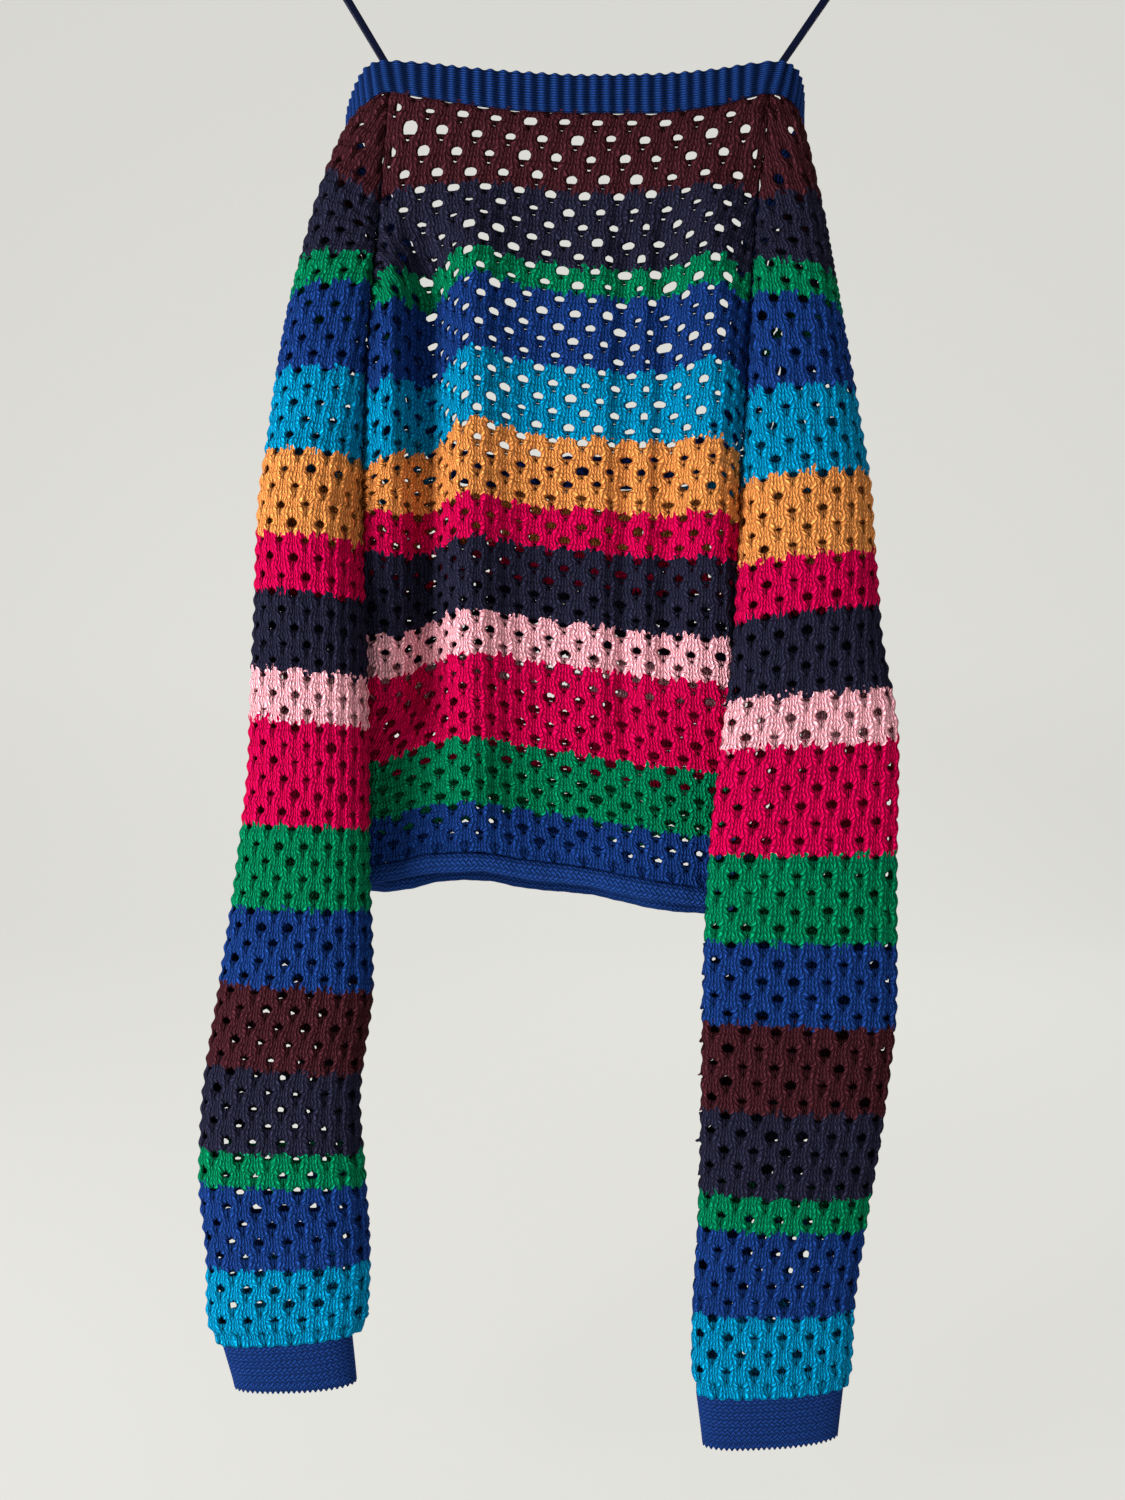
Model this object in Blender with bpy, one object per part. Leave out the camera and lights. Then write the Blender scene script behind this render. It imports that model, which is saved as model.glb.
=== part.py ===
"""A striped openwork sweater that hangs by two ribbon loops from a plain hanger.

Metres, +Z up. The origin is the point where the hanger's hook bears on its rail.
+X runs to the right across the panel that is seen first, +Y runs away from the viewer.
The knit tables give the outer surface, and every wall grows inwards from it.
Heights are drops below the origin, so z is minus the drop.
"""

import math

import bmesh
import bpy
import numpy as np

# Driving sizes
KNIT_WALL = 0.0030
BACK_POINT_SHARE = 0.45
SEAM_GAP = 0.0003
NECK_GAP = 0.0014
SIDE_GAP = 0.0008
SIDE_SEAM_DEPTH = 0.031
BODY_ROWS = 53
SLEEVE_ROWS = 76
SLEEVE_SPLIT_ROW = 33
SLEEVE_ROW_HEIGHT = 0.0095
UNDERARM_DROP = 0.514
CORNER_RADIUS = 0.016
CORNER_SHARE = 0.13
SIDE_FLAT = 0.32
SECTION_POWER = 0.85
RIB_PITCH = 0.0075
RIB_HEIGHT = 0.0011
BAND_WALL = 0.0024
HEM_HEIGHT = 0.0110
HEM_THICKNESS = 0.0064
HEM_INSET = 0.0012
RIBBON_WIDTH = 0.0042
RIBBON_THICKNESS = 0.0010
HANGER_HALF_WIDTH = 0.216
HANGER_THICKNESS = 0.010
HANGER_TOP_DROP = 0.052
NOTCH_X = 0.200
NOTCH_DEPTH = 0.004
NOTCH_HALF_WIDTH = 0.006
WIRE_RADIUS = 0.0018
HOOK_RADIUS = 0.019

# Neck seam, once round, with the free edge of the ribbed band beside it.
# Columns: seam x, seam y, seam drop, free edge x, free edge y, free edge drop
NECK = np.array([
    (-0.1190, 0.0005, 0.2725, -0.1220, 0.0005, 0.2555),
    (-0.0950, 0.0000, 0.2765, -0.0950, 0.0000, 0.2575),
    (-0.0690, 0.0000, 0.2805, -0.0690, -0.0003, 0.2605),
    (-0.0370, 0.0000, 0.2840, -0.0370, -0.0005, 0.2630),
    (-0.0050, 0.0000, 0.2850, -0.0050, -0.0005, 0.2645),
    (0.0330, 0.0000, 0.2850, 0.0330, -0.0005, 0.2640),
    (0.0700, 0.0000, 0.2810, 0.0700, -0.0003, 0.2610),
    (0.0900, 0.0000, 0.2760, 0.0910, 0.0000, 0.2575),
    (0.1030, 0.0005, 0.2735, 0.1080, 0.0000, 0.2560),
    (0.1150, 0.0060, 0.2745, 0.1180, 0.0050, 0.2570),
    (0.1260, 0.0280, 0.2765, 0.1270, 0.0260, 0.2585),
    (0.1320, 0.0520, 0.2810, 0.1310, 0.0500, 0.2625),
    (0.1270, 0.0655, 0.2980, 0.1130, 0.0660, 0.2860),
    (0.1120, 0.0680, 0.3500, 0.0940, 0.0680, 0.3480),
    (0.1050, 0.0680, 0.4250, 0.0865, 0.0680, 0.4210),
    (0.0850, 0.0680, 0.4700, 0.0700, 0.0680, 0.4540),
    (0.0450, 0.0680, 0.4870, 0.0440, 0.0680, 0.4665),
    (-0.0200, 0.0680, 0.4880, -0.0200, 0.0680, 0.4670),
    (-0.0800, 0.0680, 0.4840, -0.0780, 0.0680, 0.4640),
    (-0.1080, 0.0680, 0.4620, -0.0930, 0.0680, 0.4500),
    (-0.1220, 0.0680, 0.4100, -0.1030, 0.0680, 0.4070),
    (-0.1310, 0.0680, 0.3450, -0.1125, 0.0680, 0.3420),
    (-0.1480, 0.0655, 0.2980, -0.1350, 0.0660, 0.2860),
    (-0.1530, 0.0520, 0.2810, -0.1520, 0.0500, 0.2625),
    (-0.1430, 0.0260, 0.2770, -0.1440, 0.0250, 0.2585),
    (-0.1290, 0.0050, 0.2740, -0.1310, 0.0040, 0.2560),
])
NECK_RIGHT_FRONT = 8
NECK_RIGHT_BACK = 12
NECK_LEFT_BACK = 22

# Raglan seams down to the underarm, then the body's own side.
# Columns: drop, near seam x, near seam y, far seam x, far seam y
LEFT_EDGE = np.array([
    (0.272, -0.1190, 0.0010, -0.1500, 0.0640),
    (0.298, -0.1210, 0.0012, -0.1480, 0.0655),
    (0.345, -0.1255, 0.0020, -0.1455, 0.0620),
    (0.400, -0.1310, 0.0040, -0.1420, 0.0600),
    (0.460, -0.1350, 0.0090, -0.1380, 0.0540),
    (0.495, -0.1355, 0.0180, -0.1365, 0.0400),
    (0.514, -0.1345, 0.0240, -0.1345, 0.0260),
    (0.530, -0.1335, 0.0290, -0.1335, 0.0290),
    (0.548, -0.1335, 0.0300, -0.1335, 0.0300),
    (0.572, -0.1350, SIDE_SEAM_DEPTH, -0.1350, SIDE_SEAM_DEPTH),
    (0.640, -0.1370, SIDE_SEAM_DEPTH, -0.1370, SIDE_SEAM_DEPTH),
    (0.740, -0.1370, SIDE_SEAM_DEPTH, -0.1370, SIDE_SEAM_DEPTH),
])
RIGHT_EDGE = np.array([
    (0.272, 0.1030, 0.0010, 0.1290, 0.0640),
    (0.298, 0.1000, 0.0012, 0.1270, 0.0655),
    (0.345, 0.0950, 0.0020, 0.1250, 0.0620),
    (0.400, 0.0920, 0.0040, 0.1210, 0.0590),
    (0.460, 0.0890, 0.0060, 0.1120, 0.0520),
    (0.495, 0.0870, 0.0100, 0.0960, 0.0330),
    (0.514, 0.0850, 0.0130, 0.0850, 0.0150),
    (0.530, 0.0832, 0.0190, 0.0832, 0.0190),
    (0.555, 0.0842, 0.0240, 0.0842, 0.0240),
    (0.590, 0.0862, 0.0290, 0.0862, 0.0290),
    (0.640, 0.0880, 0.0310, 0.0880, 0.0310),
    (0.740, 0.0970, SIDE_SEAM_DEPTH, 0.0970, SIDE_SEAM_DEPTH),
])

# Courses of the near panel: how far each knit row hangs down, by where it is across.
COURSE_X = (-0.129, -0.115, -0.095, -0.069, -0.037, -0.005, 0.033, 0.070, 0.095)
# Columns: row, then the drop at each place of COURSE_X
NEAR_COURSES = np.array([
    (0, 0.2725, 0.2735, 0.2765, 0.2805, 0.2840, 0.2850, 0.2850, 0.2810, 0.2750),
    (5, 0.330, 0.328, 0.325, 0.324, 0.326, 0.329, 0.328, 0.326, 0.328),
    (10, 0.378, 0.375, 0.374, 0.364, 0.368, 0.372, 0.373, 0.368, 0.377),
    (17, 0.443, 0.438, 0.436, 0.421, 0.427, 0.430, 0.433, 0.428, 0.437),
    (22, 0.488, 0.482, 0.475, 0.463, 0.469, 0.472, 0.473, 0.473, 0.482),
    (27, 0.514, 0.516, 0.512, 0.506, 0.511, 0.513, 0.516, 0.517, 0.521),
    (35, 0.586, 0.587, 0.577, 0.573, 0.576, 0.580, 0.585, 0.588, 0.592),
    (44, 0.662, 0.658, 0.650, 0.647, 0.652, 0.657, 0.663, 0.667, 0.670),
    (53, 0.721, 0.719, 0.715, 0.714, 0.719, 0.723, 0.730, 0.735, 0.736),
])
# Side seam courses, shared by both panels. Columns: row, left drop, right drop
SEAM_COURSES = np.array([
    (0, 0.2728, 0.2738),
    (5, 0.330, 0.330),
    (10, 0.378, 0.378),
    (17, 0.443, 0.440),
    (22, 0.488, 0.485),
    (27, 0.516, 0.523),
    (35, 0.588, 0.594),
    (44, 0.665, 0.673),
    (53, 0.728, 0.740),
])
# The far panel hangs this much lower. Columns: row, extra drop
FAR_EXTRA = np.array([(0, 0.010), (27, 0.013), (53, 0.013)])

# Long folds of the two panels.
# Columns: x, half width, depth towards +Y, drop where it starts, drop where it ends
NEAR_FOLDS = (
    (-0.117, 0.009, -0.005, 0.350, 0.500),
    (-0.098, 0.012, 0.017, 0.370, 0.640),
    (-0.070, 0.016, -0.009, 0.340, 0.700),
    (-0.020, 0.030, 0.005, 0.330, 0.760),
    (0.019, 0.009, 0.007, 0.340, 0.650),
    (0.041, 0.009, 0.007, 0.340, 0.620),
    (0.068, 0.014, -0.007, 0.320, 0.560),
)
FAR_FOLDS = (
    (-0.085, 0.018, 0.006, 0.480, 0.760),
    (-0.045, 0.014, -0.006, 0.500, 0.760),
    (0.000, 0.018, 0.007, 0.500, 0.760),
    (0.045, 0.014, -0.005, 0.520, 0.760),
)
FOLD_FADE = 0.050
FAR_PLANE = 0.067
STEEP_WEIGHT = 0.35

# Sleeve outlines. Columns: drop, side by the body, outer side, front, back
LEFT_SLEEVE = np.array([
    (0.272, -0.1190, -0.1540, 0.0000, 0.0640),
    (0.298, -0.1210, -0.1585, -0.0010, 0.0655),
    (0.345, -0.1255, -0.1710, -0.0030, 0.0640),
    (0.400, -0.1310, -0.1840, -0.0060, 0.0620),
    (0.460, -0.1350, -0.1930, -0.0080, 0.0600),
    (0.514, -0.1350, -0.1980, -0.0150, 0.0500),
    (0.582, -0.1310, -0.1960, -0.0250, 0.0200),
    (0.650, -0.1275, -0.1955, -0.0320, 0.0040),
    (0.718, -0.1265, -0.2015, -0.0340, 0.0000),
    (0.786, -0.1245, -0.2115, -0.0330, -0.0010),
    (0.855, -0.1320, -0.2220, -0.0310, 0.0000),
    (0.899, -0.1290, -0.2240, -0.0290, 0.0010),
    (0.944, -0.1270, -0.2205, -0.0270, 0.0030),
    (0.976, -0.1285, -0.2210, -0.0240, 0.0040),
    (0.994, -0.1365, -0.2140, -0.0215, 0.0025),
])
RIGHT_SLEEVE = np.array([
    (0.272, 0.1030, 0.1320, 0.0000, 0.0640),
    (0.298, 0.1000, 0.1335, -0.0010, 0.0655),
    (0.345, 0.0950, 0.1410, -0.0040, 0.0640),
    (0.400, 0.0920, 0.1500, -0.0080, 0.0610),
    (0.460, 0.0890, 0.1590, -0.0120, 0.0550),
    (0.514, 0.0855, 0.1650, -0.0160, 0.0440),
    (0.580, 0.0810, 0.1645, -0.0250, 0.0150),
    (0.650, 0.0710, 0.1730, -0.0260, -0.0040),
    (0.720, 0.0630, 0.1710, -0.0290, -0.0080),
    (0.790, 0.0600, 0.1710, -0.0290, -0.0080),
    (0.860, 0.0590, 0.1640, -0.0290, -0.0070),
    (0.920, 0.0575, 0.1545, -0.0280, -0.0050),
    (0.970, 0.0550, 0.1480, -0.0260, -0.0020),
    (1.005, 0.0545, 0.1465, -0.0250, 0.0000),
    (1.020, 0.0580, 0.1420, -0.0240, -0.0010),
])
# Sleeve courses. Columns: row, drop by the body, drop at the outer side
LEFT_COURSES = np.array([
    (0, 0.273, 0.281), (5, 0.338, 0.334), (10, 0.365, 0.369), (17, 0.433, 0.432),
    (22, 0.483, 0.477), (30, 0.566, 0.560), (38, 0.642, 0.636), (49, 0.742, 0.739),
    (59, 0.835, 0.828), (66, 0.897, 0.896), (76, 0.985, 0.992),
])
RIGHT_COURSES = np.array([
    (0, 0.274, 0.281), (5, 0.340, 0.332), (10, 0.369, 0.377), (17, 0.445, 0.442),
    (22, 0.497, 0.490), (30, 0.579, 0.569), (38, 0.655, 0.649), (49, 0.759, 0.761),
    (59, 0.854, 0.858), (66, 0.920, 0.923), (76, 1.020, 1.014),
])
# Cuffs. Columns: x of both sides, front, back, drop by the body, drop at the outer side
LEFT_CUFF = ((-0.1385, -0.2120, -0.0210, 0.0020, 0.9854, 0.9924),
             (-0.1355, -0.2050, -0.0195, 0.0010, 1.0136, 1.0166))
RIGHT_CUFF = ((0.0580, 0.1415, -0.0240, -0.0010, 1.0203, 1.0143),
              (0.0615, 0.1385, -0.0220, -0.0020, 1.0480, 1.0420))
# Ribbon loops. Columns: x and drop where the ribbon leaves the band, y of the band's inside
LEFT_LOOP = (-0.1205, 0.2555, 0.0047)
RIGHT_LOOP = (0.1085, 0.2560, 0.0050)
LOOP_SEWN_LENGTH = 0.012

# Colours, red, green, blue as the eye sees them
BAND_BLUE = (0.085, 0.185, 0.400)
CORAL_STRIPE = (0.780, 0.500, 0.270)
CRIMSON_STRIPE = (0.720, 0.020, 0.250)
WINE_STRIPE = (0.240, 0.115, 0.135)
GREEN_STRIPE = (0.020, 0.415, 0.280)
RIBBON_BLUE = (0.060, 0.140, 0.450)
PALE_WOOD = (0.720, 0.560, 0.380)
STEEL = (0.620, 0.620, 0.630)


def smooth(knots, values, at):
    """Read a smooth curve through a table's values, which never swings past them."""
    knots = np.asarray(knots, float)
    values = np.asarray(values, float)
    at = np.clip(at, knots[0], knots[-1])
    rises = np.diff(values) / np.diff(knots)
    slopes = np.concatenate([rises[:1], np.zeros(len(rises) - 1), rises[-1:]])
    same_way = rises[:-1] * rises[1:] > 0
    slopes[1:-1][same_way] = 2 / (1 / rises[:-1][same_way] + 1 / rises[1:][same_way])
    i = np.clip(np.searchsorted(knots, at, side="right") - 1, 0, len(knots) - 2)
    step = knots[i + 1] - knots[i]
    t = (at - knots[i]) / step
    rise = (2 * t**3 - 3 * t**2 + 1) * values[i] + (3 * t**2 - 2 * t**3) * values[i + 1]
    turn = (t**3 - 2 * t**2 + t) * slopes[i] + (t**3 - t**2) * slopes[i + 1]
    return rise + step * turn


def column(table, index, at):
    """Read one named column of a table whose first column is the place."""
    return smooth(table[:, 0], table[:, index], at)


def fade(at, start, end, width):
    """Rise from 0 to 1 after the start and fall back to 0 at the end."""
    rise = np.clip((at - start) / width + 0.5, 0, 1)
    fall = np.clip((end - at) / width + 0.5, 0, 1)
    return rise * rise * (3 - 2 * rise) * fall * fall * (3 - 2 * fall)


def fold_depth(folds, x, drop):
    """Add up the long folds at one place of a panel."""
    depth = 0.0
    for centre, half_width, height, start, end in folds:
        bell = math.exp(-((x - centre) / half_width) ** 2)
        depth += height * bell * fade(drop, start, end, FOLD_FADE)
    return depth


def neck_point(index, columns):
    """A point of the neck table, at a place between its rows, once round."""
    count = len(NECK)
    wrapped = np.vstack([NECK[-2:], NECK, NECK[:3]])
    places = np.arange(-2, count + 3)
    x, y, drop = (float(smooth(places, wrapped[:, c], index % count)) for c in columns)
    return x, y, drop


def seam_point(index):
    return neck_point(index, (0, 1, 2))


def free_edge_point(index):
    return neck_point(index, (3, 4, 5))


def near_course(row, x):
    """Drop of a knit row of the near panel at x."""
    drops = [column(NEAR_COURSES, 1 + i, row) for i in range(len(COURSE_X))]
    return float(smooth(COURSE_X, drops, x))


def corner(share, bend):
    """Place along a corner and how far it has turned back, for a flat or a full bend."""
    reach = min(share / CORNER_SHARE, 1.0)
    angle = max(0.0, reach - SIDE_FLAT) / (1 - SIDE_FLAT) * math.pi / 2
    level = min(reach / SIDE_FLAT, 1.0)
    round_turn = (1 - SIDE_FLAT * level) - (1 - SIDE_FLAT) * math.sin(angle)
    x = (1 - bend) * reach + bend * (1 - math.cos(angle))
    return CORNER_RADIUS * x, (1 - bend) * (1 - reach) ** 2 + bend * round_turn


def across(share, left, right, bend):
    """Place across a panel, and how far its corner has turned back, 0 to 1."""
    if share < CORNER_SHARE:
        inset, turn = corner(share, bend)
        return left + inset, turn
    if share > 1 - CORNER_SHARE:
        inset, turn = corner(1 - share, bend)
        return right - inset, turn
    flat = (share - CORNER_SHARE) / (1 - 2 * CORNER_SHARE)
    return left + CORNER_RADIUS + flat * (right - left - 2 * CORNER_RADIUS), 0.0


def panel_point(share, row, far):
    """A point of the near or far panel, before the neck is cut out of the far one."""
    side = 1 if share < 0.5 else 2
    edge = LEFT_EDGE if share < 0.5 else RIGHT_EDGE
    edge_drop = float(column(SEAM_COURSES, side, row))
    x_column, y_column = (3, 4) if far else (1, 2)
    left = float(column(LEFT_EDGE, x_column, column(SEAM_COURSES, 1, row))) + SEAM_GAP / 2
    right = float(column(RIGHT_EDGE, x_column, column(SEAM_COURSES, 2, row))) - SEAM_GAP / 2
    seam_depth = float(column(edge, y_column, edge_drop))
    bend = min(abs(seam_depth - (FAR_PLANE if far else 0)) / CORNER_RADIUS, 1.0)
    x, turn = across(share, left, right, bend)
    drop = near_course(row, x)
    if far:
        drop += float(column(FAR_EXTRA, 1, row))
    drop += (edge_drop - drop) * turn
    if far:
        face = FAR_PLANE + fold_depth(FAR_FOLDS, x, drop)
        seam_y = float(column(edge, y_column, drop)) + SIDE_GAP / 2
    else:
        face = fold_depth(NEAR_FOLDS, x, drop)
        seam_y = float(column(edge, y_column, drop)) - SIDE_GAP / 2
    return x, face + (seam_y - face) * turn, drop


def near_top(share):
    """The near panel's top edge, just under the band."""
    index = share * NECK_RIGHT_FRONT
    x, y, drop = seam_point(index)
    inset = SEAM_GAP / 2
    x = min(max(x, NECK[0, 0] + inset), NECK[NECK_RIGHT_FRONT, 0] - inset)
    return x, y, drop + SEAM_GAP


def near_point(share, along):
    """Near panel, from its neck seam to the hem."""
    x, y, drop = panel_point(share, along * BODY_ROWS, far=False)
    top = near_top(share)
    settle = max(0.0, 1 - along * BODY_ROWS / 5) ** 2
    blend = [p + (t - p) * settle for p, t in zip((x, y, drop), top)]
    return blend[0], blend[1], -blend[2]


def far_neck_curve():
    """The far neck seam as many x and drop pairs, from left to right."""
    indices = np.linspace(NECK_LEFT_BACK, NECK_RIGHT_BACK, 240)
    points = np.array([seam_point(i) for i in indices])
    return points[:, 0], points[:, 2]


def neck_drop(x, curve=far_neck_curve()):
    """Drop of the far panel's neck edge at x, clear of the band on its steep sides too."""
    middle = (curve[0][0] + curve[0][-1]) / 2
    inward = x + math.copysign(NECK_GAP, middle - x)
    return float(np.interp(inward, *curve)) + NECK_GAP


def far_start(share):
    """The row where a column of the far panel meets the neck seam."""
    low, high = 0.0, float(BODY_ROWS)
    for _ in range(24):
        middle = (low + high) / 2
        x, _, drop = panel_point(share, middle, far=True)
        if drop < neck_drop(x):
            low = middle
        else:
            high = middle
    return high


def far_columns():
    """Shares of the far panel's columns, closer together where its neck edge is steep."""
    shares = np.linspace(0, 1, 90)
    tops = np.array([panel_point(share, far_start(share), far=True) for share in shares])
    run = np.abs(np.diff(tops[:, 0])) + STEEP_WEIGHT * np.abs(np.diff(tops[:, 2]))
    return np.concatenate([[0], np.cumsum(run)]) / run.sum(), shares


def far_point(place, along, columns=far_columns(), starts={}):
    """Far panel, from the deep neck down to the hem."""
    share = float(np.interp(place, *columns))
    if share not in starts:
        starts[share] = far_start(share)
    row = starts[share] + along * (BODY_ROWS - starts[share])
    x, y, drop = panel_point(share, row, far=True)
    return x, y, -drop


def quarter(turn, start, end):
    """Rounded quarter from a side point to a front or back point of a section."""
    across_share = math.cos(turn) ** SECTION_POWER
    depth_share = math.sin(turn) ** SECTION_POWER
    return end[0] + (start[0] - end[0]) * across_share, start[1] + (end[1] - start[1]) * depth_share


def sleeve_section(outline, edge, drop, share, out):
    """A point of the sleeve's outline: share runs 0 to 1 from the near seam round the outside."""
    inner, outer, front, back = (float(column(outline, c, drop)) for c in (1, 2, 3, 4))
    middle = (inner + outer) / 2
    if drop < UNDERARM_DROP:
        near = [float(column(edge, 1, drop)), float(column(edge, 2, drop))]
        far = [float(column(edge, 3, drop)), float(column(edge, 4, drop))]
        near[0] += out * SEAM_GAP
        far[0] += out * 2 * SEAM_GAP
    else:
        near = far = [inner, (front + back) / 2]
    side = (outer, (front + back) / 2)
    quarter_index = min(int(share * 4), 3)
    turn = (share * 4 - quarter_index) * math.pi / 2
    if quarter_index == 0:
        return quarter(turn, near, (middle, front))
    if quarter_index == 1:
        return quarter(math.pi / 2 - turn, side, (middle, front))
    back_point = (far[0] + (outer - far[0]) * BACK_POINT_SHARE, back)
    if quarter_index == 2:
        return quarter(turn, side, back_point)
    return quarter(math.pi / 2 - turn, far, back_point)


def sleeve_point(share, along, outline, edge, courses, neck_range, out):
    """A point of the sleeve, from the neck seam down to the cuff."""
    row = along * SLEEVE_ROWS
    outside = (1 - math.cos(2 * math.pi * share)) / 2
    inner_drop = float(column(courses, 1, row))
    outer_drop = float(column(courses, 2, row))
    drop = inner_drop + (outer_drop - inner_drop) * outside
    x, y = sleeve_section(outline, edge, drop, share, out)
    settle = max(0.0, 1 - row / 7) ** 2
    index = neck_range[0] + share * (neck_range[1] - neck_range[0])
    top = seam_point(index)
    point = (x, y, drop)
    steep = 3.2 * NECK_GAP * share**3
    shift = (out * SEAM_GAP * (1 - outside), 0, SEAM_GAP + steep)
    blend = [p + (t + s - p) * settle for p, t, s in zip(point, top, shift)]
    return blend[0], blend[1], -blend[2]


def material(name, colour, roughness, metallic=0.0):
    made = bpy.data.materials.new(name)
    made.use_nodes = True
    shader = made.node_tree.nodes["Principled BSDF"]
    linear = [c / 12.92 if c < 0.04045 else ((c + 0.055) / 1.055) ** 2.4 for c in colour]
    shader.inputs["Base Color"].default_value = (*linear, 1)
    shader.inputs["Roughness"].default_value = roughness
    shader.inputs["Metallic"].default_value = metallic
    return made


def finish(name, mesh_data, surface):
    """Turn a bmesh into a named, smooth-shaded object."""
    mesh = bpy.data.meshes.new(name)
    mesh_data.to_mesh(mesh)
    mesh_data.free()
    mesh.materials.append(surface)
    mesh.shade_smooth()
    piece = bpy.data.objects.new(name, mesh)
    bpy.context.collection.objects.link(piece)
    return piece


def cloth(name, columns, rows, place, surface, flip):
    """A grid laid over a garment surface, then given its wall."""
    grid = bmesh.new()
    bmesh.ops.create_grid(grid, x_segments=columns, y_segments=rows, size=0.5)
    for vert in grid.verts:
        vert.co = place(round(vert.co.x + 0.5, 6), round(vert.co.y + 0.5, 6))
    bmesh.ops.remove_doubles(grid, verts=grid.verts, dist=0.0001)
    if flip:
        bmesh.ops.reverse_faces(grid, faces=grid.faces)
    piece = finish(name, grid, surface)
    wall = piece.modifiers.new("Wall", "SOLIDIFY")
    wall.thickness = KNIT_WALL
    wall.offset = -1
    return piece


def ring(name, columns, sides, place, surface):
    """A closed band: the grid's long ends meet, and so do its sides."""
    grid = bmesh.new()
    bmesh.ops.create_grid(grid, x_segments=columns, y_segments=sides, size=0.5)
    for vert in grid.verts:
        column_index = round((vert.co.x + 0.5) * columns) % columns
        side_index = round((vert.co.y + 0.5) * sides) % sides
        vert.co = place(column_index, side_index)
    bmesh.ops.remove_doubles(grid, verts=grid.verts, dist=0.00002)
    bmesh.ops.recalc_face_normals(grid, faces=grid.faces)
    return finish(name, grid, surface)


def make_panels():
    wine = material("wine_knit", WINE_STRIPE, 0.9)
    green = material("green_knit", GREEN_STRIPE, 0.9)
    cloth("back_panel", 29, 21, near_point, wine, flip=True)
    cloth("front_panel", 42, 12, far_point, green, flip=False)


def make_sleeves():
    """Each sleeve in two solids that meet at a stripe: the open raglan head and the tube below it."""
    crimson = material("crimson_knit", CRIMSON_STRIPE, 0.9)

    def left(share, along):
        return sleeve_point(share, along, LEFT_SLEEVE, LEFT_EDGE, LEFT_COURSES,
                            (len(NECK), NECK_LEFT_BACK), -1)

    def right(share, along):
        return sleeve_point(share, along, RIGHT_SLEEVE, RIGHT_EDGE, RIGHT_COURSES,
                            (NECK_RIGHT_FRONT, NECK_RIGHT_BACK), 1)

    split = SLEEVE_SPLIT_ROW / SLEEVE_ROWS
    gap = SEAM_GAP / SLEEVE_ROW_HEIGHT / SLEEVE_ROWS
    for side, place, flip in (("left", left, False), ("right", right, True)):
        cloth(side + "_sleeve_upper", 20, 9,
              lambda share, along, p=place: p(share, along * split), crimson, flip)
        cloth(side + "_sleeve_lower", 20, 12,
              lambda share, along, p=place: p(share, split + gap + along * (1 - split - gap)),
              crimson, flip)


def cuff_point(ends, share, along):
    """A point of a cuff's outer face."""
    inner, outer, front, back, inner_drop, outer_drop = (
        top + (bottom - top) * along for top, bottom in zip(*ends))
    angle = share * 2 * math.pi
    reach = math.copysign(abs(math.cos(angle)) ** SECTION_POWER, math.cos(angle))
    depth = math.copysign(abs(math.sin(angle)) ** SECTION_POWER, math.sin(angle))
    x = (inner + outer) / 2 + (inner - outer) / 2 * reach
    y = (front + back) / 2 - (back - front) / 2 * depth
    outside = (1 - math.cos(angle)) / 2
    return x, y, -(inner_drop + (outer_drop - inner_drop) * outside + SEAM_GAP)


def make_cuffs():
    blue = material("purl_cuff", BAND_BLUE, 0.9)
    cloth("left_cuff", 20, 2, lambda s, a: cuff_point(LEFT_CUFF, s, a), blue, flip=False)
    cloth("right_cuff", 20, 2, lambda s, a: cuff_point(RIGHT_CUFF, s, a), blue, flip=True)


def even_indices(point, last, pitch):
    """Places along a closed table that are one pitch apart on the real curve."""
    fine = np.linspace(0, last, 1200)
    path = np.array([point(i) for i in fine])
    lengths = np.concatenate([[0], np.cumsum(np.linalg.norm(np.diff(path, axis=0), axis=1))])
    count = round(lengths[-1] / pitch)
    return np.interp(np.arange(count) * lengths[-1] / count, lengths, fine)


def make_neckband():
    """Ribbed band round the neck: the ribs stand proud of a plain inside."""
    indices = even_indices(seam_point, len(NECK), RIB_PITCH / 2)
    indices = indices[: len(indices) // 2 * 2]
    centre = np.array((-0.010, 0.034, 0))

    def place(column_index, side_index):
        index = indices[column_index]
        seam = np.array(seam_point(index))
        free = np.array(free_edge_point(index))
        ahead = np.array(seam_point(index + 0.2)) - np.array(seam_point(index - 0.2))
        out = np.cross(ahead, free - seam)
        out /= np.linalg.norm(out)
        to_side = (seam - centre) * (1, 1, 0)
        if np.dot(out, to_side) < 0:
            out = -out
        rib = RIB_HEIGHT if column_index % 2 else 0.0
        height = (0.0, 1.0, 1.0, 0.0)[side_index]
        outward = (rib, rib, -BAND_WALL, -BAND_WALL)[side_index]
        point = seam + (free - seam) * height + out * outward
        return point[0], point[1], -point[2]

    ring("neckband", len(indices), 4, place, material("ribbed_band", BAND_BLUE, 0.9))


def make_hem():
    """Rolled hem round both panels."""
    half = 26
    columns = 2 * half

    def path(index):
        index %= columns
        if index <= half:
            return np.array(near_point(index / half, 1.0))
        return np.array(far_point(2 - index / half, 1.0))

    def place(column_index, side_index):
        point = path(column_index)
        ahead = path(column_index + 1) - path(column_index - 1)
        out = np.array((ahead[1], -ahead[0], 0))
        out /= np.linalg.norm(out)
        angle = side_index * math.pi / 3 + math.pi / 6
        centre = point + np.array((0, 0, -SIDE_GAP - HEM_HEIGHT / 2)) - out * HEM_INSET
        side = out * math.cos(angle) * HEM_THICKNESS / 2 / math.cos(math.pi / 6)
        rise = np.array((0, 0, math.sin(angle) * HEM_HEIGHT / 2))
        return centre + side + rise

    ring("hem", columns, 6, place, material("rolled_hem", BAND_BLUE, 0.9))


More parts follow.
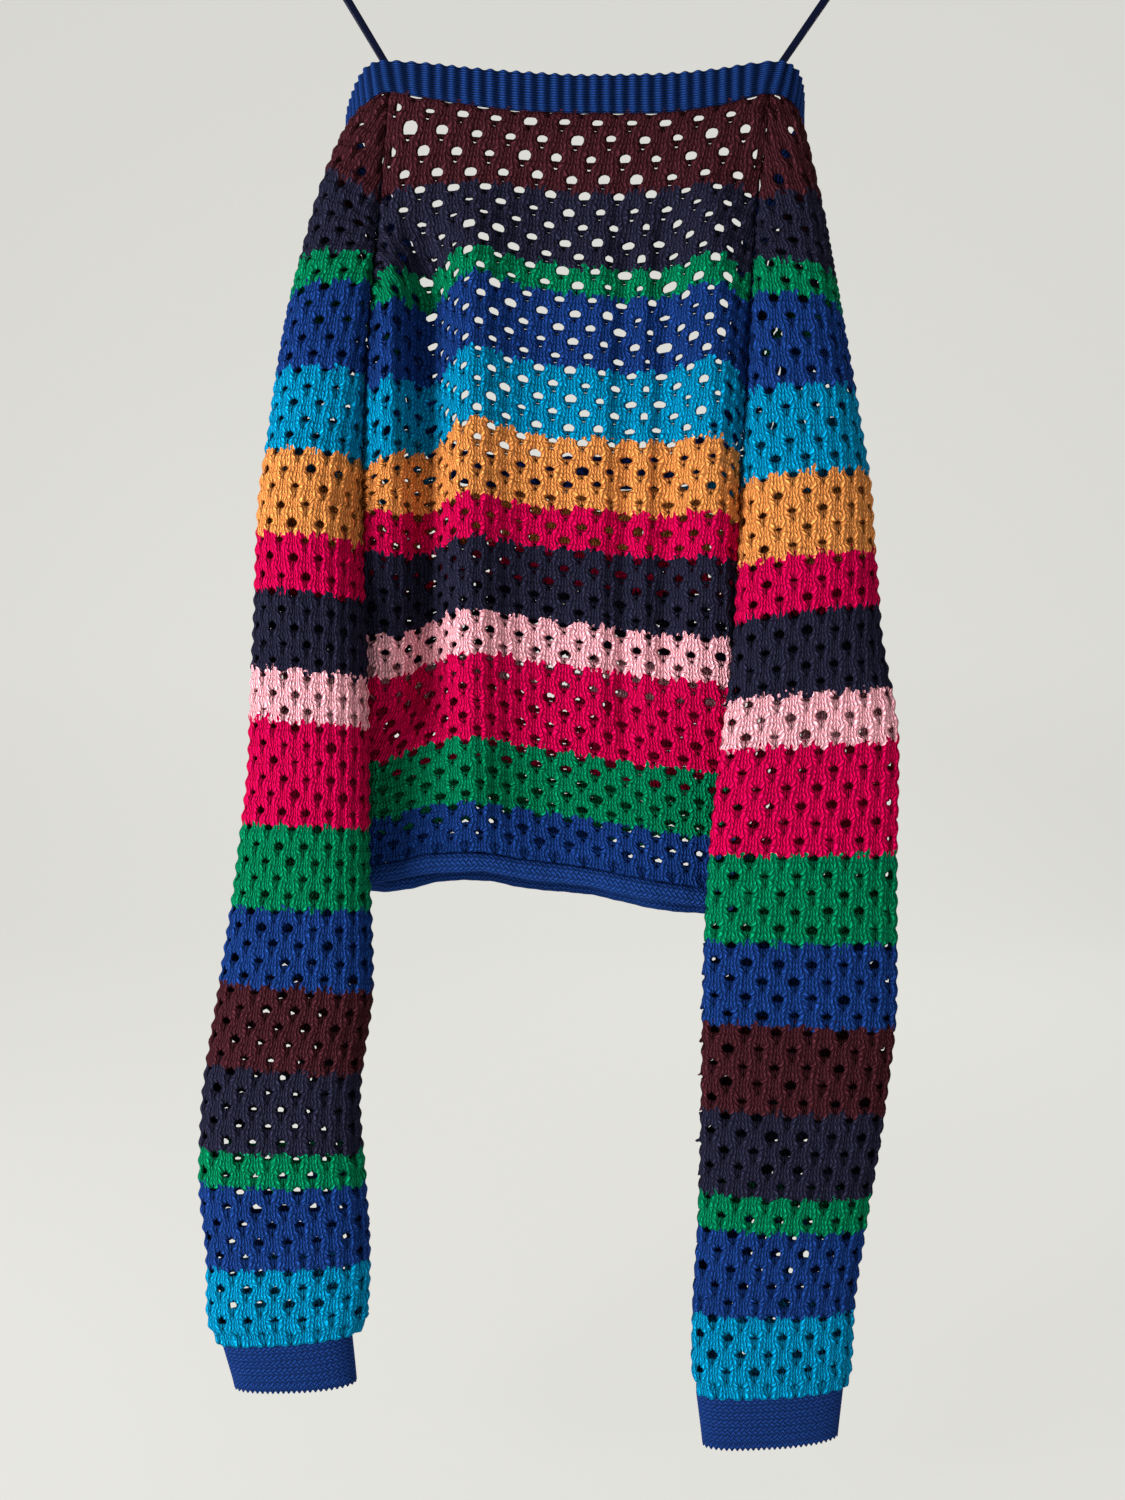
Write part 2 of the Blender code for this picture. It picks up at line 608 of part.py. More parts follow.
def arm_drop(x):
    """Drop of the hanger's top edge at x, without the notch."""
    reach = abs(x) / HANGER_HALF_WIDTH
    return HANGER_TOP_DROP + 0.094 * (math.sqrt(reach**2 + 0.04) - 0.2)


def notched_drop(x):
    """Top edge with the notch that holds a loop."""
    from_notch = abs(abs(x) - NOTCH_X) / NOTCH_HALF_WIDTH
    return arm_drop(x) + NOTCH_DEPTH * max(0.0, 1 - from_notch)


def make_hanger():
    """Plain wooden arms, rounded in section, from tip to tip."""
    half = [0, 0.02, 0.05, 0.09, 0.13, 0.17, NOTCH_X - NOTCH_HALF_WIDTH, NOTCH_X,
            NOTCH_X + NOTCH_HALF_WIDTH, HANGER_HALF_WIDTH - 0.003, HANGER_HALF_WIDTH]
    stations = [-x for x in half[:0:-1]] + half
    sides = 8
    arms = bmesh.new()
    loops = []
    for x in stations:
        depth = 0.018 - 0.006 * abs(x) / HANGER_HALF_WIDTH
        shrink = 0.55 if abs(x) == HANGER_HALF_WIDTH else 1.0
        top = notched_drop(x)
        loop = []
        for side in range(sides):
            angle = (side + 0.5) * 2 * math.pi / sides
            y = math.cos(angle) / math.cos(math.pi / sides) * HANGER_THICKNESS / 2 * shrink
            lift = math.sin(angle) / math.cos(math.pi / sides) * depth / 2 * shrink
            loop.append(arms.verts.new((x, y, -(top + depth / 2) + lift)))
        loops.append(loop)
    for a, b in zip(loops, loops[1:]):
        for side in range(sides):
            after = (side + 1) % sides
            arms.faces.new((a[side], a[after], b[after], b[side]))
    arms.faces.new(loops[0])
    arms.faces.new(loops[-1])
    bmesh.ops.recalc_face_normals(arms, faces=arms.faces)
    finish("hanger_arms", arms, material("pale_wood", PALE_WOOD, 0.5))


def make_hook():
    """Steel wire: over the rail, back to the middle and down to the arms."""
    centre_z = WIRE_RADIUS - HOOK_RADIUS
    points = []
    for step in range(21):
        angle = math.radians(205 - step * 265 / 20)
        points.append((HOOK_RADIUS * math.cos(angle), centre_z + HOOK_RADIUS * math.sin(angle)))
    start = np.array(points[-1])
    lead = np.array((math.sin(math.radians(-60)), -math.cos(math.radians(-60))))
    end = np.array((0.0, -HANGER_TOP_DROP + 0.006))
    handles = (start, start + lead * 0.006, end + np.array((0, 0.006)), end)
    for step in range(1, 7):
        t = step / 6
        shares = ((1 - t)**3, 3 * t * (1 - t)**2, 3 * t**2 * (1 - t), t**3)
        points.append(tuple(sum(s * h for s, h in zip(shares, handles))))
    points.append((0.0, -HANGER_TOP_DROP + SEAM_GAP))
    wire = bpy.data.curves.new("hanger_hook", "CURVE")
    wire.dimensions = "3D"
    wire.bevel_depth = WIRE_RADIUS
    wire.bevel_resolution = 2
    wire.use_fill_caps = True
    spline = wire.splines.new("POLY")
    spline.points.add(len(points) - 1)
    for place, (x, z) in zip(spline.points, points):
        place.co = (x, 0, z, 1)
    wire.materials.append(material("hook_steel", STEEL, 0.3, 1.0))
    hook = bpy.data.objects.new("hanger_hook", wire)
    bpy.context.collection.objects.link(hook)


def make_loop(name, start, side, surface):
    """One ribbon loop: two strands from inside the band, over the hanger's notch."""
    x, drop, inside = start
    notch = np.array((side * NOTCH_X, 0, -notched_drop(side * NOTCH_X)))
    foot = np.array((x, inside, -drop))
    along = notch - foot
    along[1] = 0
    length = np.linalg.norm(along)
    along /= length
    clear = HANGER_THICKNESS / 2 + SEAM_GAP + RIBBON_THICKNESS / 2
    over = SEAM_GAP + RIBBON_THICKNESS / 2 + RIBBON_WIDTH * 0.45
    arm_height = 0.014
    ply = RIBBON_THICKNESS / 2 + 0.0001
    # Columns: distance up the loop, y of the strand's middle
    front = ((-LOOP_SEWN_LENGTH, inside - ply), (0, inside - ply), (length * 0.5, -clear * 0.35),
             (length - arm_height, -clear), (length - 0.001, -clear), (length + over, -clear * 0.6),
             (length + over + 0.0004, 0))
    back = tuple((reach, 2 * inside - y if reach <= 0 else -y) for reach, y in front[:-1])
    route = front + back[::-1]
    across_ribbon = np.cross(along, (0, 1, 0))

    def middle(index):
        reach, y = route[index % len(route)]
        return foot * (1, 0, 1) + along * reach + np.array((0, y, 0))

    def place(column_index, side_index):
        ahead = middle(column_index + 1) - middle(column_index - 1)
        face = np.cross(ahead, across_ribbon)
        face /= np.linalg.norm(face)
        width = (-1, 1, 1, -1)[side_index] * RIBBON_WIDTH / 2
        thick = (-1, -1, 1, 1)[side_index] * RIBBON_THICKNESS / 2
        return middle(column_index) + across_ribbon * width + face * thick

    ring(name, len(route), 4, place, surface)


def main():
    for old in list(bpy.data.objects):
        bpy.data.objects.remove(old, do_unlink=True)
    make_panels()
    make_sleeves()
    make_cuffs()
    make_neckband()
    make_hem()
    make_hanger()
    make_hook()
    satin = material("satin_ribbon", RIBBON_BLUE, 0.35)
    make_loop("left_loop", LEFT_LOOP, -1, satin)
    make_loop("right_loop", RIGHT_LOOP, 1, satin)


main()
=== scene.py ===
import math

import bmesh
import bpy
import numpy as np
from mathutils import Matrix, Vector


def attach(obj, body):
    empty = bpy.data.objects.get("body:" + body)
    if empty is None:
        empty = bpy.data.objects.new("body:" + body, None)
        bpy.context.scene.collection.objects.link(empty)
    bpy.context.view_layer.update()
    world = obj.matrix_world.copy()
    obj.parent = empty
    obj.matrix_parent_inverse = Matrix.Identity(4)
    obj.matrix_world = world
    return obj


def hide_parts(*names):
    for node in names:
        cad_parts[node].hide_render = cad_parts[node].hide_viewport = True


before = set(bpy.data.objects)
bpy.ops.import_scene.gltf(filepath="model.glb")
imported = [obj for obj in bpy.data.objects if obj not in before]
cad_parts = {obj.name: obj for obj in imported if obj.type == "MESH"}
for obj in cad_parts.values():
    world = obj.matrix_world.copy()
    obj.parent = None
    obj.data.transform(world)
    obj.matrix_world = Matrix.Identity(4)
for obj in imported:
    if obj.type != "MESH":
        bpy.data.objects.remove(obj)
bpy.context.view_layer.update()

dice = np.random.default_rng(11)  # one generator, drawn from in the order of the pieces
weldDistance = 0.00002


# How the garment hangs. Drops are metres below the rail, x and y are metres across and back.
hang = {
    "seamGap": -0.0004, "neckGap": 0.0014, "sideGap": 0.0008, "backPointShare": 0.45,
    "sideSeamDepth": 0.031, "bodyRows": 53, "sleeveRows": 76, "underarmDrop": 0.514,
    "cornerRadius": 0.016, "cornerShare": 0.13, "sideFlat": 0.32, "sectionPower": 0.85,
    "foldFade": 0.050, "farPlane": 0.067, "panelSettle": 5, "sleeveSettle": 7, "sleeveLift": 3.2,
}

# Neck seam once round, in millimetres: seam x, y, drop, then the band's free edge x, y, drop
neckLine = np.array([
    (-119, 0.5, 272.5, -122, 0.5, 255.5), (-95, 0, 276.5, -95, 0, 257.5),
    (-69, 0, 280.5, -69, -0.3, 260.5), (-37, 0, 284, -37, -0.5, 263), (-5, 0, 285, -5, -0.5, 264.5),
    (33, 0, 285, 33, -0.5, 264), (70, 0, 281, 70, -0.3, 261), (90, 0, 276, 91, 0, 257.5),
    (103, 0.5, 273.5, 108, 0, 256), (115, 6, 274.5, 118, 5, 257), (126, 28, 276.5, 127, 26, 258.5),
    (132, 52, 281, 131, 50, 262.5), (127, 65.5, 298, 113, 66, 286), (112, 68, 350, 94, 68, 348),
    (105, 68, 425, 86.5, 68, 421), (85, 68, 470, 70, 68, 454), (45, 68, 487, 44, 68, 466.5),
    (-20, 68, 488, -20, 68, 467), (-80, 68, 484, -78, 68, 464), (-108, 68, 462, -93, 68, 450),
    (-122, 68, 410, -103, 68, 407), (-131, 68, 345, -112.5, 68, 342), (-148, 65.5, 298, -135, 66, 286),
    (-153, 52, 281, -152, 50, 262.5), (-143, 26, 277, -144, 25, 258.5), (-129, 5, 274, -131, 4, 256),
]) / 1000
neckRightFront, neckRightBack, neckLeftBack = 8, 12, 22  # where the panels and sleeves meet

# Raglan seams, then the body's sides, in millimetres: drop, near x, near y, far x, far y
leftEdge = np.array([
    (272, -119, 1, -150, 64), (298, -121, 1.2, -148, 65.5), (345, -125.5, 2, -145.5, 62),
    (400, -131, 4, -142, 60), (460, -135, 9, -138, 54), (495, -135.5, 18, -136.5, 40),
    (514, -136, 24, -136, 26), (530, -138.5, 29, -138.5, 29), (548, -140, 30, -140, 30),
    (572, -141, 31, -141, 31), (640, -142, 31, -142, 31), (740, -142, 31, -142, 31),
]) / 1000
rightEdge = np.array([
    (272, 103, 1, 129, 64), (298, 100, 1.2, 127, 65.5), (345, 95, 2, 125, 62), (400, 92, 4, 121, 59),
    (460, 89, 6, 112, 52), (495, 87, 10, 96, 33), (514, 86.5, 13, 86.5, 15), (530, 88, 19, 88, 19),
    (555, 89, 24, 89, 24), (590, 90, 29, 90, 29), (640, 91, 31, 91, 31), (740, 97, 31, 97, 31),
]) / 1000

# Drop of some knit rows of the near panel at each courseX, in metres: row, then the drops
courseX = (-0.129, -0.115, -0.095, -0.069, -0.037, -0.005, 0.033, 0.070, 0.095)
nearCourses = np.array([
    (0, 0.2725, 0.2735, 0.2765, 0.2805, 0.2840, 0.2850, 0.2850, 0.2810, 0.2750),
    (5, 0.330, 0.328, 0.325, 0.324, 0.326, 0.329, 0.328, 0.326, 0.328),
    (10, 0.378, 0.375, 0.374, 0.364, 0.368, 0.372, 0.373, 0.368, 0.377),
    (17, 0.443, 0.438, 0.436, 0.421, 0.427, 0.430, 0.433, 0.428, 0.437),
    (22, 0.488, 0.482, 0.475, 0.463, 0.469, 0.472, 0.473, 0.473, 0.482),
    (27, 0.514, 0.516, 0.512, 0.506, 0.511, 0.513, 0.516, 0.517, 0.521),
    (35, 0.586, 0.587, 0.577, 0.573, 0.576, 0.580, 0.585, 0.588, 0.592),
    (44, 0.662, 0.658, 0.650, 0.647, 0.652, 0.657, 0.663, 0.667, 0.670),
    (53, 0.721, 0.719, 0.715, 0.714, 0.719, 0.723, 0.730, 0.735, 0.736),
])
seamCourses = np.array([  # row, left drop, right drop at the side seams
    (0, 0.2728, 0.2738), (5, 0.330, 0.330), (10, 0.378, 0.378), (17, 0.443, 0.440),
    (22, 0.488, 0.485), (27, 0.516, 0.523), (35, 0.588, 0.594), (44, 0.665, 0.673),
    (53, 0.728, 0.740),
])
farExtra = np.array([(0, 0.010), (27, 0.013), (53, 0.013)])  # row, how much lower the far panel is

# Long folds, in millimetres: x, half width, depth away from the viewer, drop at its start and end
nearFolds = np.array([
    (-117, 9, -5, 350, 500), (-98, 10.5, 20, 370, 640), (-70, 16, -9, 340, 700), (-20, 30, 5, 330, 760),
    (19, 9, 7, 340, 650), (41, 9, 7, 340, 620), (68, 14, -7, 320, 560),
]) / 1000
farFolds = np.array([
    (-85, 18, 6, 480, 760), (-45, 14, -6, 500, 760), (0, 18, 7, 500, 760), (45, 14, -5, 520, 760),
]) / 1000

# Sleeves, in millimetres: drop, side by the body, outer side, front, back
leftSleeve = np.array([
    (272, -119, -154, 0, 64), (298, -121, -158.5, -1, 65.5), (345, -125.5, -171, -3, 64),
    (400, -131, -184, -6, 62), (460, -135, -193, -8, 60), (514, -135, -198, -15, 50),
    (582, -131, -196, -25, 20), (650, -127.5, -195.5, -32, 4), (718, -126.5, -201.5, -34, 0),
    (786, -124.5, -211.5, -33, -1), (855, -132, -222, -31, 0), (899, -129, -224, -29, 1),
    (944, -127, -220.5, -27, 3), (976, -128.5, -221, -24, 4), (994, -136.5, -214, -21.5, 2.5),
]) / 1000
rightSleeve = np.array([
    (272, 103, 132, 0, 64), (298, 100, 133.5, -1, 65.5), (345, 95, 141, -4, 64), (400, 92, 150, -8, 61),
    (460, 89, 159, -12, 55), (514, 85.5, 165, -16, 44), (580, 81, 164.5, -25, 15),
    (650, 71, 173, -26, -4), (720, 63, 171, -29, -8), (790, 60, 171, -29, -8), (860, 59, 164, -29, -7),
    (920, 57.5, 154.5, -28, -5), (970, 55, 148, -26, -2), (1005, 54.5, 146.5, -25, 0),
    (1020, 58, 142, -24, -1),
]) / 1000
leftCourses = np.array([  # row, drop by the body, drop at the outer side
    (0, 0.273, 0.281), (5, 0.341, 0.312), (10, 0.366, 0.366), (17, 0.433, 0.432),
    (22, 0.483, 0.477), (30, 0.566, 0.560), (38, 0.642, 0.636), (49, 0.742, 0.739),
    (59, 0.835, 0.828), (66, 0.897, 0.896), (76, 0.985, 0.992),
])
rightCourses = np.array([
    (0, 0.274, 0.281), (5, 0.340, 0.332), (10, 0.369, 0.377), (17, 0.445, 0.442),
    (22, 0.497, 0.490), (30, 0.579, 0.569), (38, 0.655, 0.649), (49, 0.759, 0.761),
    (59, 0.854, 0.858), (66, 0.920, 0.923), (76, 1.020, 1.014),
])


def smooth(knots, values, at):  # a smooth curve through a table, values may have a column for each place
    knots = np.asarray(knots, float)
    at = np.clip(np.atleast_1d(np.asarray(at, float)), knots[0], knots[-1])
    values = np.asarray(values, float).reshape(len(knots), -1)
    rises = np.diff(values, axis=0) / np.diff(knots)[:, None]
    slopes = np.zeros_like(values)
    slopes[0], slopes[-1] = rises[0], rises[-1]
    sameWay = rises[:-1] * rises[1:] > 0
    before, after = rises[:-1][sameWay], rises[1:][sameWay]
    slopes[1:-1][sameWay] = 2 / (1 / before + 1 / after)
    i = np.clip(np.searchsorted(knots, at, side="right") - 1, 0, len(knots) - 2)
    own = np.arange(at.size) if values.shape[1] > 1 else 0
    step = knots[i + 1] - knots[i]
    t = (at - knots[i]) / step
    level = (2 * t**3 - 3 * t**2 + 1) * values[i, own] + (3 * t**2 - 2 * t**3) * values[i + 1, own]
    turn = (t**3 - 2 * t**2 + t) * slopes[i, own] + (t**3 - t**2) * slopes[i + 1, own]
    return level + step * turn


def addPiece(name, shape, look):  # a finished bmesh becomes a smooth object in the scene
    mesh = bpy.data.meshes.new(name)
    shape.to_mesh(mesh)
    shape.free()
    mesh.shade_smooth()
    mesh.materials.append(look)
    piece = bpy.data.objects.new(name, mesh)
    bpy.context.collection.objects.link(piece)
    return piece


def enter(piece, node):
    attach(piece, "root")
    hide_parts(node)


def unit(vectors):
    return vectors / np.linalg.norm(vectors, axis=1)[:, None]


def column(table, index, at):
    return smooth(table[:, 0], table[:, index], at)


def ease(t):
    t = np.clip(t, 0, 1)
    return t * t * (3 - 2 * t)


def foldDepth(folds, x, drop):
    depth = np.zeros_like(x)
    for centre, halfWidth, height, start, end in folds:
        bell = np.exp(-((x - centre) / halfWidth) ** 2)
        depth += height * bell * ease((drop - start) / hang["foldFade"] + 0.5) \
            * ease((end - drop) / hang["foldFade"] + 0.5)
    return depth


def neckPoint(index, first):  # first is 0 for the seam and 3 for the free edge
    wrapped = np.vstack([neckLine[-2:], neckLine, neckLine[:3]])
    places = np.arange(-2, len(neckLine) + 3)
    index = np.atleast_1d(index) % len(neckLine)
    return np.stack([smooth(places, wrapped[:, first + c], index) for c in range(3)], axis=1)


def nearCourse(row, x):
    drops = np.stack([column(nearCourses, 1 + i, row) for i in range(len(courseX))])
    return smooth(courseX, drops, x)


def corner(share, bend):  # place along a corner, and how far it has turned back
    flat = hang["sideFlat"]
    reach = np.clip(share / hang["cornerShare"], 0, 1)
    angle = np.maximum(0, reach - flat) / (1 - flat) * math.pi / 2
    roundTurn = 1 - flat * np.minimum(reach / flat, 1) - (1 - flat) * np.sin(angle)
    x = (1 - bend) * reach + bend * (1 - np.cos(angle))
    return hang["cornerRadius"] * x, (1 - bend) * (1 - reach) ** 2 + bend * roundTurn


def panelPoint(share, row, far):
    xColumn, yColumn = (3, 4) if far else (1, 2)
    onLeft = share < 0.5
    leftDrop, rightDrop = column(seamCourses, 1, row), column(seamCourses, 2, row)
    left = column(leftEdge, xColumn, leftDrop) + hang["seamGap"] / 2
    right = column(rightEdge, xColumn, rightDrop) - hang["seamGap"] / 2
    edgeDrop = np.where(onLeft, leftDrop, rightDrop)
    plane = hang["farPlane"] if far else 0.0

    def seamDepth(drop):
        return np.where(onLeft, column(leftEdge, yColumn, drop), column(rightEdge, yColumn, drop))

    bend = np.minimum(np.abs(seamDepth(edgeDrop) - plane) / hang["cornerRadius"], 1)
    inset, turn = corner(np.minimum(share, 1 - share), bend)
    middle = (share - hang["cornerShare"]) / (1 - 2 * hang["cornerShare"])
    flatX = left + hang["cornerRadius"] + middle * (right - left - 2 * hang["cornerRadius"])
    x = np.where(share < hang["cornerShare"], left + inset,
                 np.where(share > 1 - hang["cornerShare"], right - inset, flatX))
    drop = nearCourse(row, x)
    if far:
        drop = drop + column(farExtra, 1, row)
    drop = drop + (edgeDrop - drop) * turn
    face = plane + foldDepth(farFolds if far else nearFolds, x, drop)
    seamY = seamDepth(drop) + (1 if far else -1) * hang["sideGap"] / 2
    return np.stack([x, face + (seamY - face) * turn, drop], axis=1)


def nearPlace(share, row):
    points = panelPoint(share, row, far=False)
    top = neckPoint(share * neckRightFront, 0)
    inset = hang["seamGap"] / 2
    top[:, 0] = np.clip(top[:, 0], neckLine[0, 0] + inset, neckLine[neckRightFront, 0] - inset)
    top[:, 2] += hang["seamGap"]
    settle = np.maximum(0, 1 - row / hang["panelSettle"])[:, None] ** 2
    return (points + (top - points) * settle) * (1, 1, -1)


def farPlace(share, row):
    return panelPoint(share, row, far=True) * (1, 1, -1)


def farStart(shares):  # the row where a column of the far panel meets its neck seam
    curve = neckPoint(np.linspace(neckLeftBack, neckRightBack, 240), 0)
    middle = (curve[0, 0] + curve[-1, 0]) / 2
    low, high = np.zeros_like(shares), np.full_like(shares, float(hang["bodyRows"]))
    for _ in range(24):
        row = (low + high) / 2
        points = panelPoint(shares, row, far=True)
        inward = points[:, 0] + np.copysign(hang["neckGap"], middle - points[:, 0])
        above = points[:, 2] < np.interp(inward, curve[:, 0], curve[:, 2]) + hang["neckGap"]
        low, high = np.where(above, row, low), np.where(above, high, row)
    return high


def quarter(turn, start, end):
    power = hang["sectionPower"]
    acrossShare = np.abs(np.cos(turn)) ** power
    depthShare = np.abs(np.sin(turn)) ** power
    return end[0] + (start[0] - end[0]) * acrossShare, start[1] + (end[1] - start[1]) * depthShare


def sleevePlace(outline, edge, courses, neckRange, out):
    def place(share, row):
        outside = (1 - np.cos(2 * math.pi * share)) / 2
        innerDrop, outerDrop = column(courses, 1, row), column(courses, 2, row)
        drop = innerDrop + (outerDrop - innerDrop) * outside
        inner, outer, front, back = (column(outline, c, drop) for c in (1, 2, 3, 4))
        middle, depth = (inner + outer) / 2, (front + back) / 2
        isOpen = drop < hang["underarmDrop"]
        gap = out * hang["seamGap"]
        near = (np.where(isOpen, column(edge, 1, drop) + gap, inner),
                np.where(isOpen, column(edge, 2, drop), depth))
        far = (np.where(isOpen, column(edge, 3, drop) + 2 * gap, inner),
               np.where(isOpen, column(edge, 4, drop), depth))
        backPoint = (far[0] + (outer - far[0]) * hang["backPointShare"], back)
        index = np.minimum((share * 4).astype(int), 3)
        turn = (share * 4 - index) * math.pi / 2
        quarters = (quarter(turn, near, (middle, front)),
                    quarter(math.pi / 2 - turn, (outer, depth), (middle, front)),
                    quarter(turn, (outer, depth), backPoint),
                    quarter(math.pi / 2 - turn, far, backPoint))
        x = np.choose(index, [q[0] for q in quarters])
        y = np.choose(index, [q[1] for q in quarters])
        points = np.stack([x, y, drop], axis=1)
        top = neckPoint(neckRange[0] + share * (neckRange[1] - neckRange[0]), 0)
        top[:, 0] += gap * (1 - outside)
        top[:, 2] += hang["seamGap"] + hang["sleeveLift"] * hang["neckGap"] * share**3
        settle = np.maximum(0, 1 - row / hang["sleeveSettle"])[:, None] ** 2
        return (points + (top - points) * settle) * (1, 1, -1)
    return place


# Openwork knit: each row has a hole in every pitch, and every second row stands half a pitch on
lace = {
    "columnsPerPitch": 8, "linesPerRow": 6, "sectionSteps": 240,
    "wall": 0.0016, "cordRelief": 0.0014, "barRelief": 0.0004, "hollow": 0.0011,
    "seamRoll": 0.0016, "seamRollWidth": 0.0050,
    "wander": 0.055, "holeShift": 0.022, "holeDrop": 0.035, "holeSizeSpread": 0.16,
    "plainRows": 1, "edgeMargin": 0.0025, "neckMargin": 0.5,
    "wanderRow": 0.083, "hollowRow": 0.42, "barRow": 0.9,
}
# How far a hole's outline leaves the plain grid, in pitches sideways and in rows up and down
holeShape = {
    "topIn": 0.045, "flankOut": 0.012, "footIn": 0.022, "slitTopIn": 0.062, "slitFootIn": 0.075,
    "topRise": 0.06, "shoulderDrop": 0.05, "footRise": 0.035,
}


def holeNudges(columnIndex, lineInRow, oddRow):  # moves of the grid's points round holes and slits
    half = lace["columnsPerPitch"] // 2
    toHole = (columnIndex + half - half * oddRow) % (2 * half) - half
    toSlit = (columnIndex + half - half * (1 - oddRow)) % (2 * half) - half
    side = np.sign(toHole) * (np.abs(toHole) == 1)
    top = (lineInRow == 1) & (np.abs(toHole) <= 1)
    flank = ((lineInRow == 2) | (lineInRow == 3)) & (np.abs(toHole) == 1)
    foot = (lineInRow == 4) & (np.abs(toHole) <= 1)
    slitTop = (lineInRow == 5) & (np.abs(toHole) == 1)
    slitFoot = (lineInRow == 0) & (np.abs(toSlit) == 1)
    du = np.where(top, -holeShape["topIn"] * side, 0.0)
    du += np.where(flank, holeShape["flankOut"] * side, 0.0)
    du += np.where(foot, -holeShape["footIn"] * side, 0.0)
    du += np.where(slitTop, -holeShape["slitTopIn"] * side, 0.0)
    du += np.where(slitFoot, -holeShape["slitFootIn"] * np.sign(toSlit), 0.0)
    dv = np.where(top, np.where(toHole == 0, -holeShape["topRise"], holeShape["shoulderDrop"]), 0.0)
    dv += np.where(foot & (toHole == 0), -holeShape["footRise"], 0.0)
    ring = (np.abs(toHole) <= 1) & (lineInRow >= 1) & (lineInRow <= 4)
    return du, dv, toHole, ring


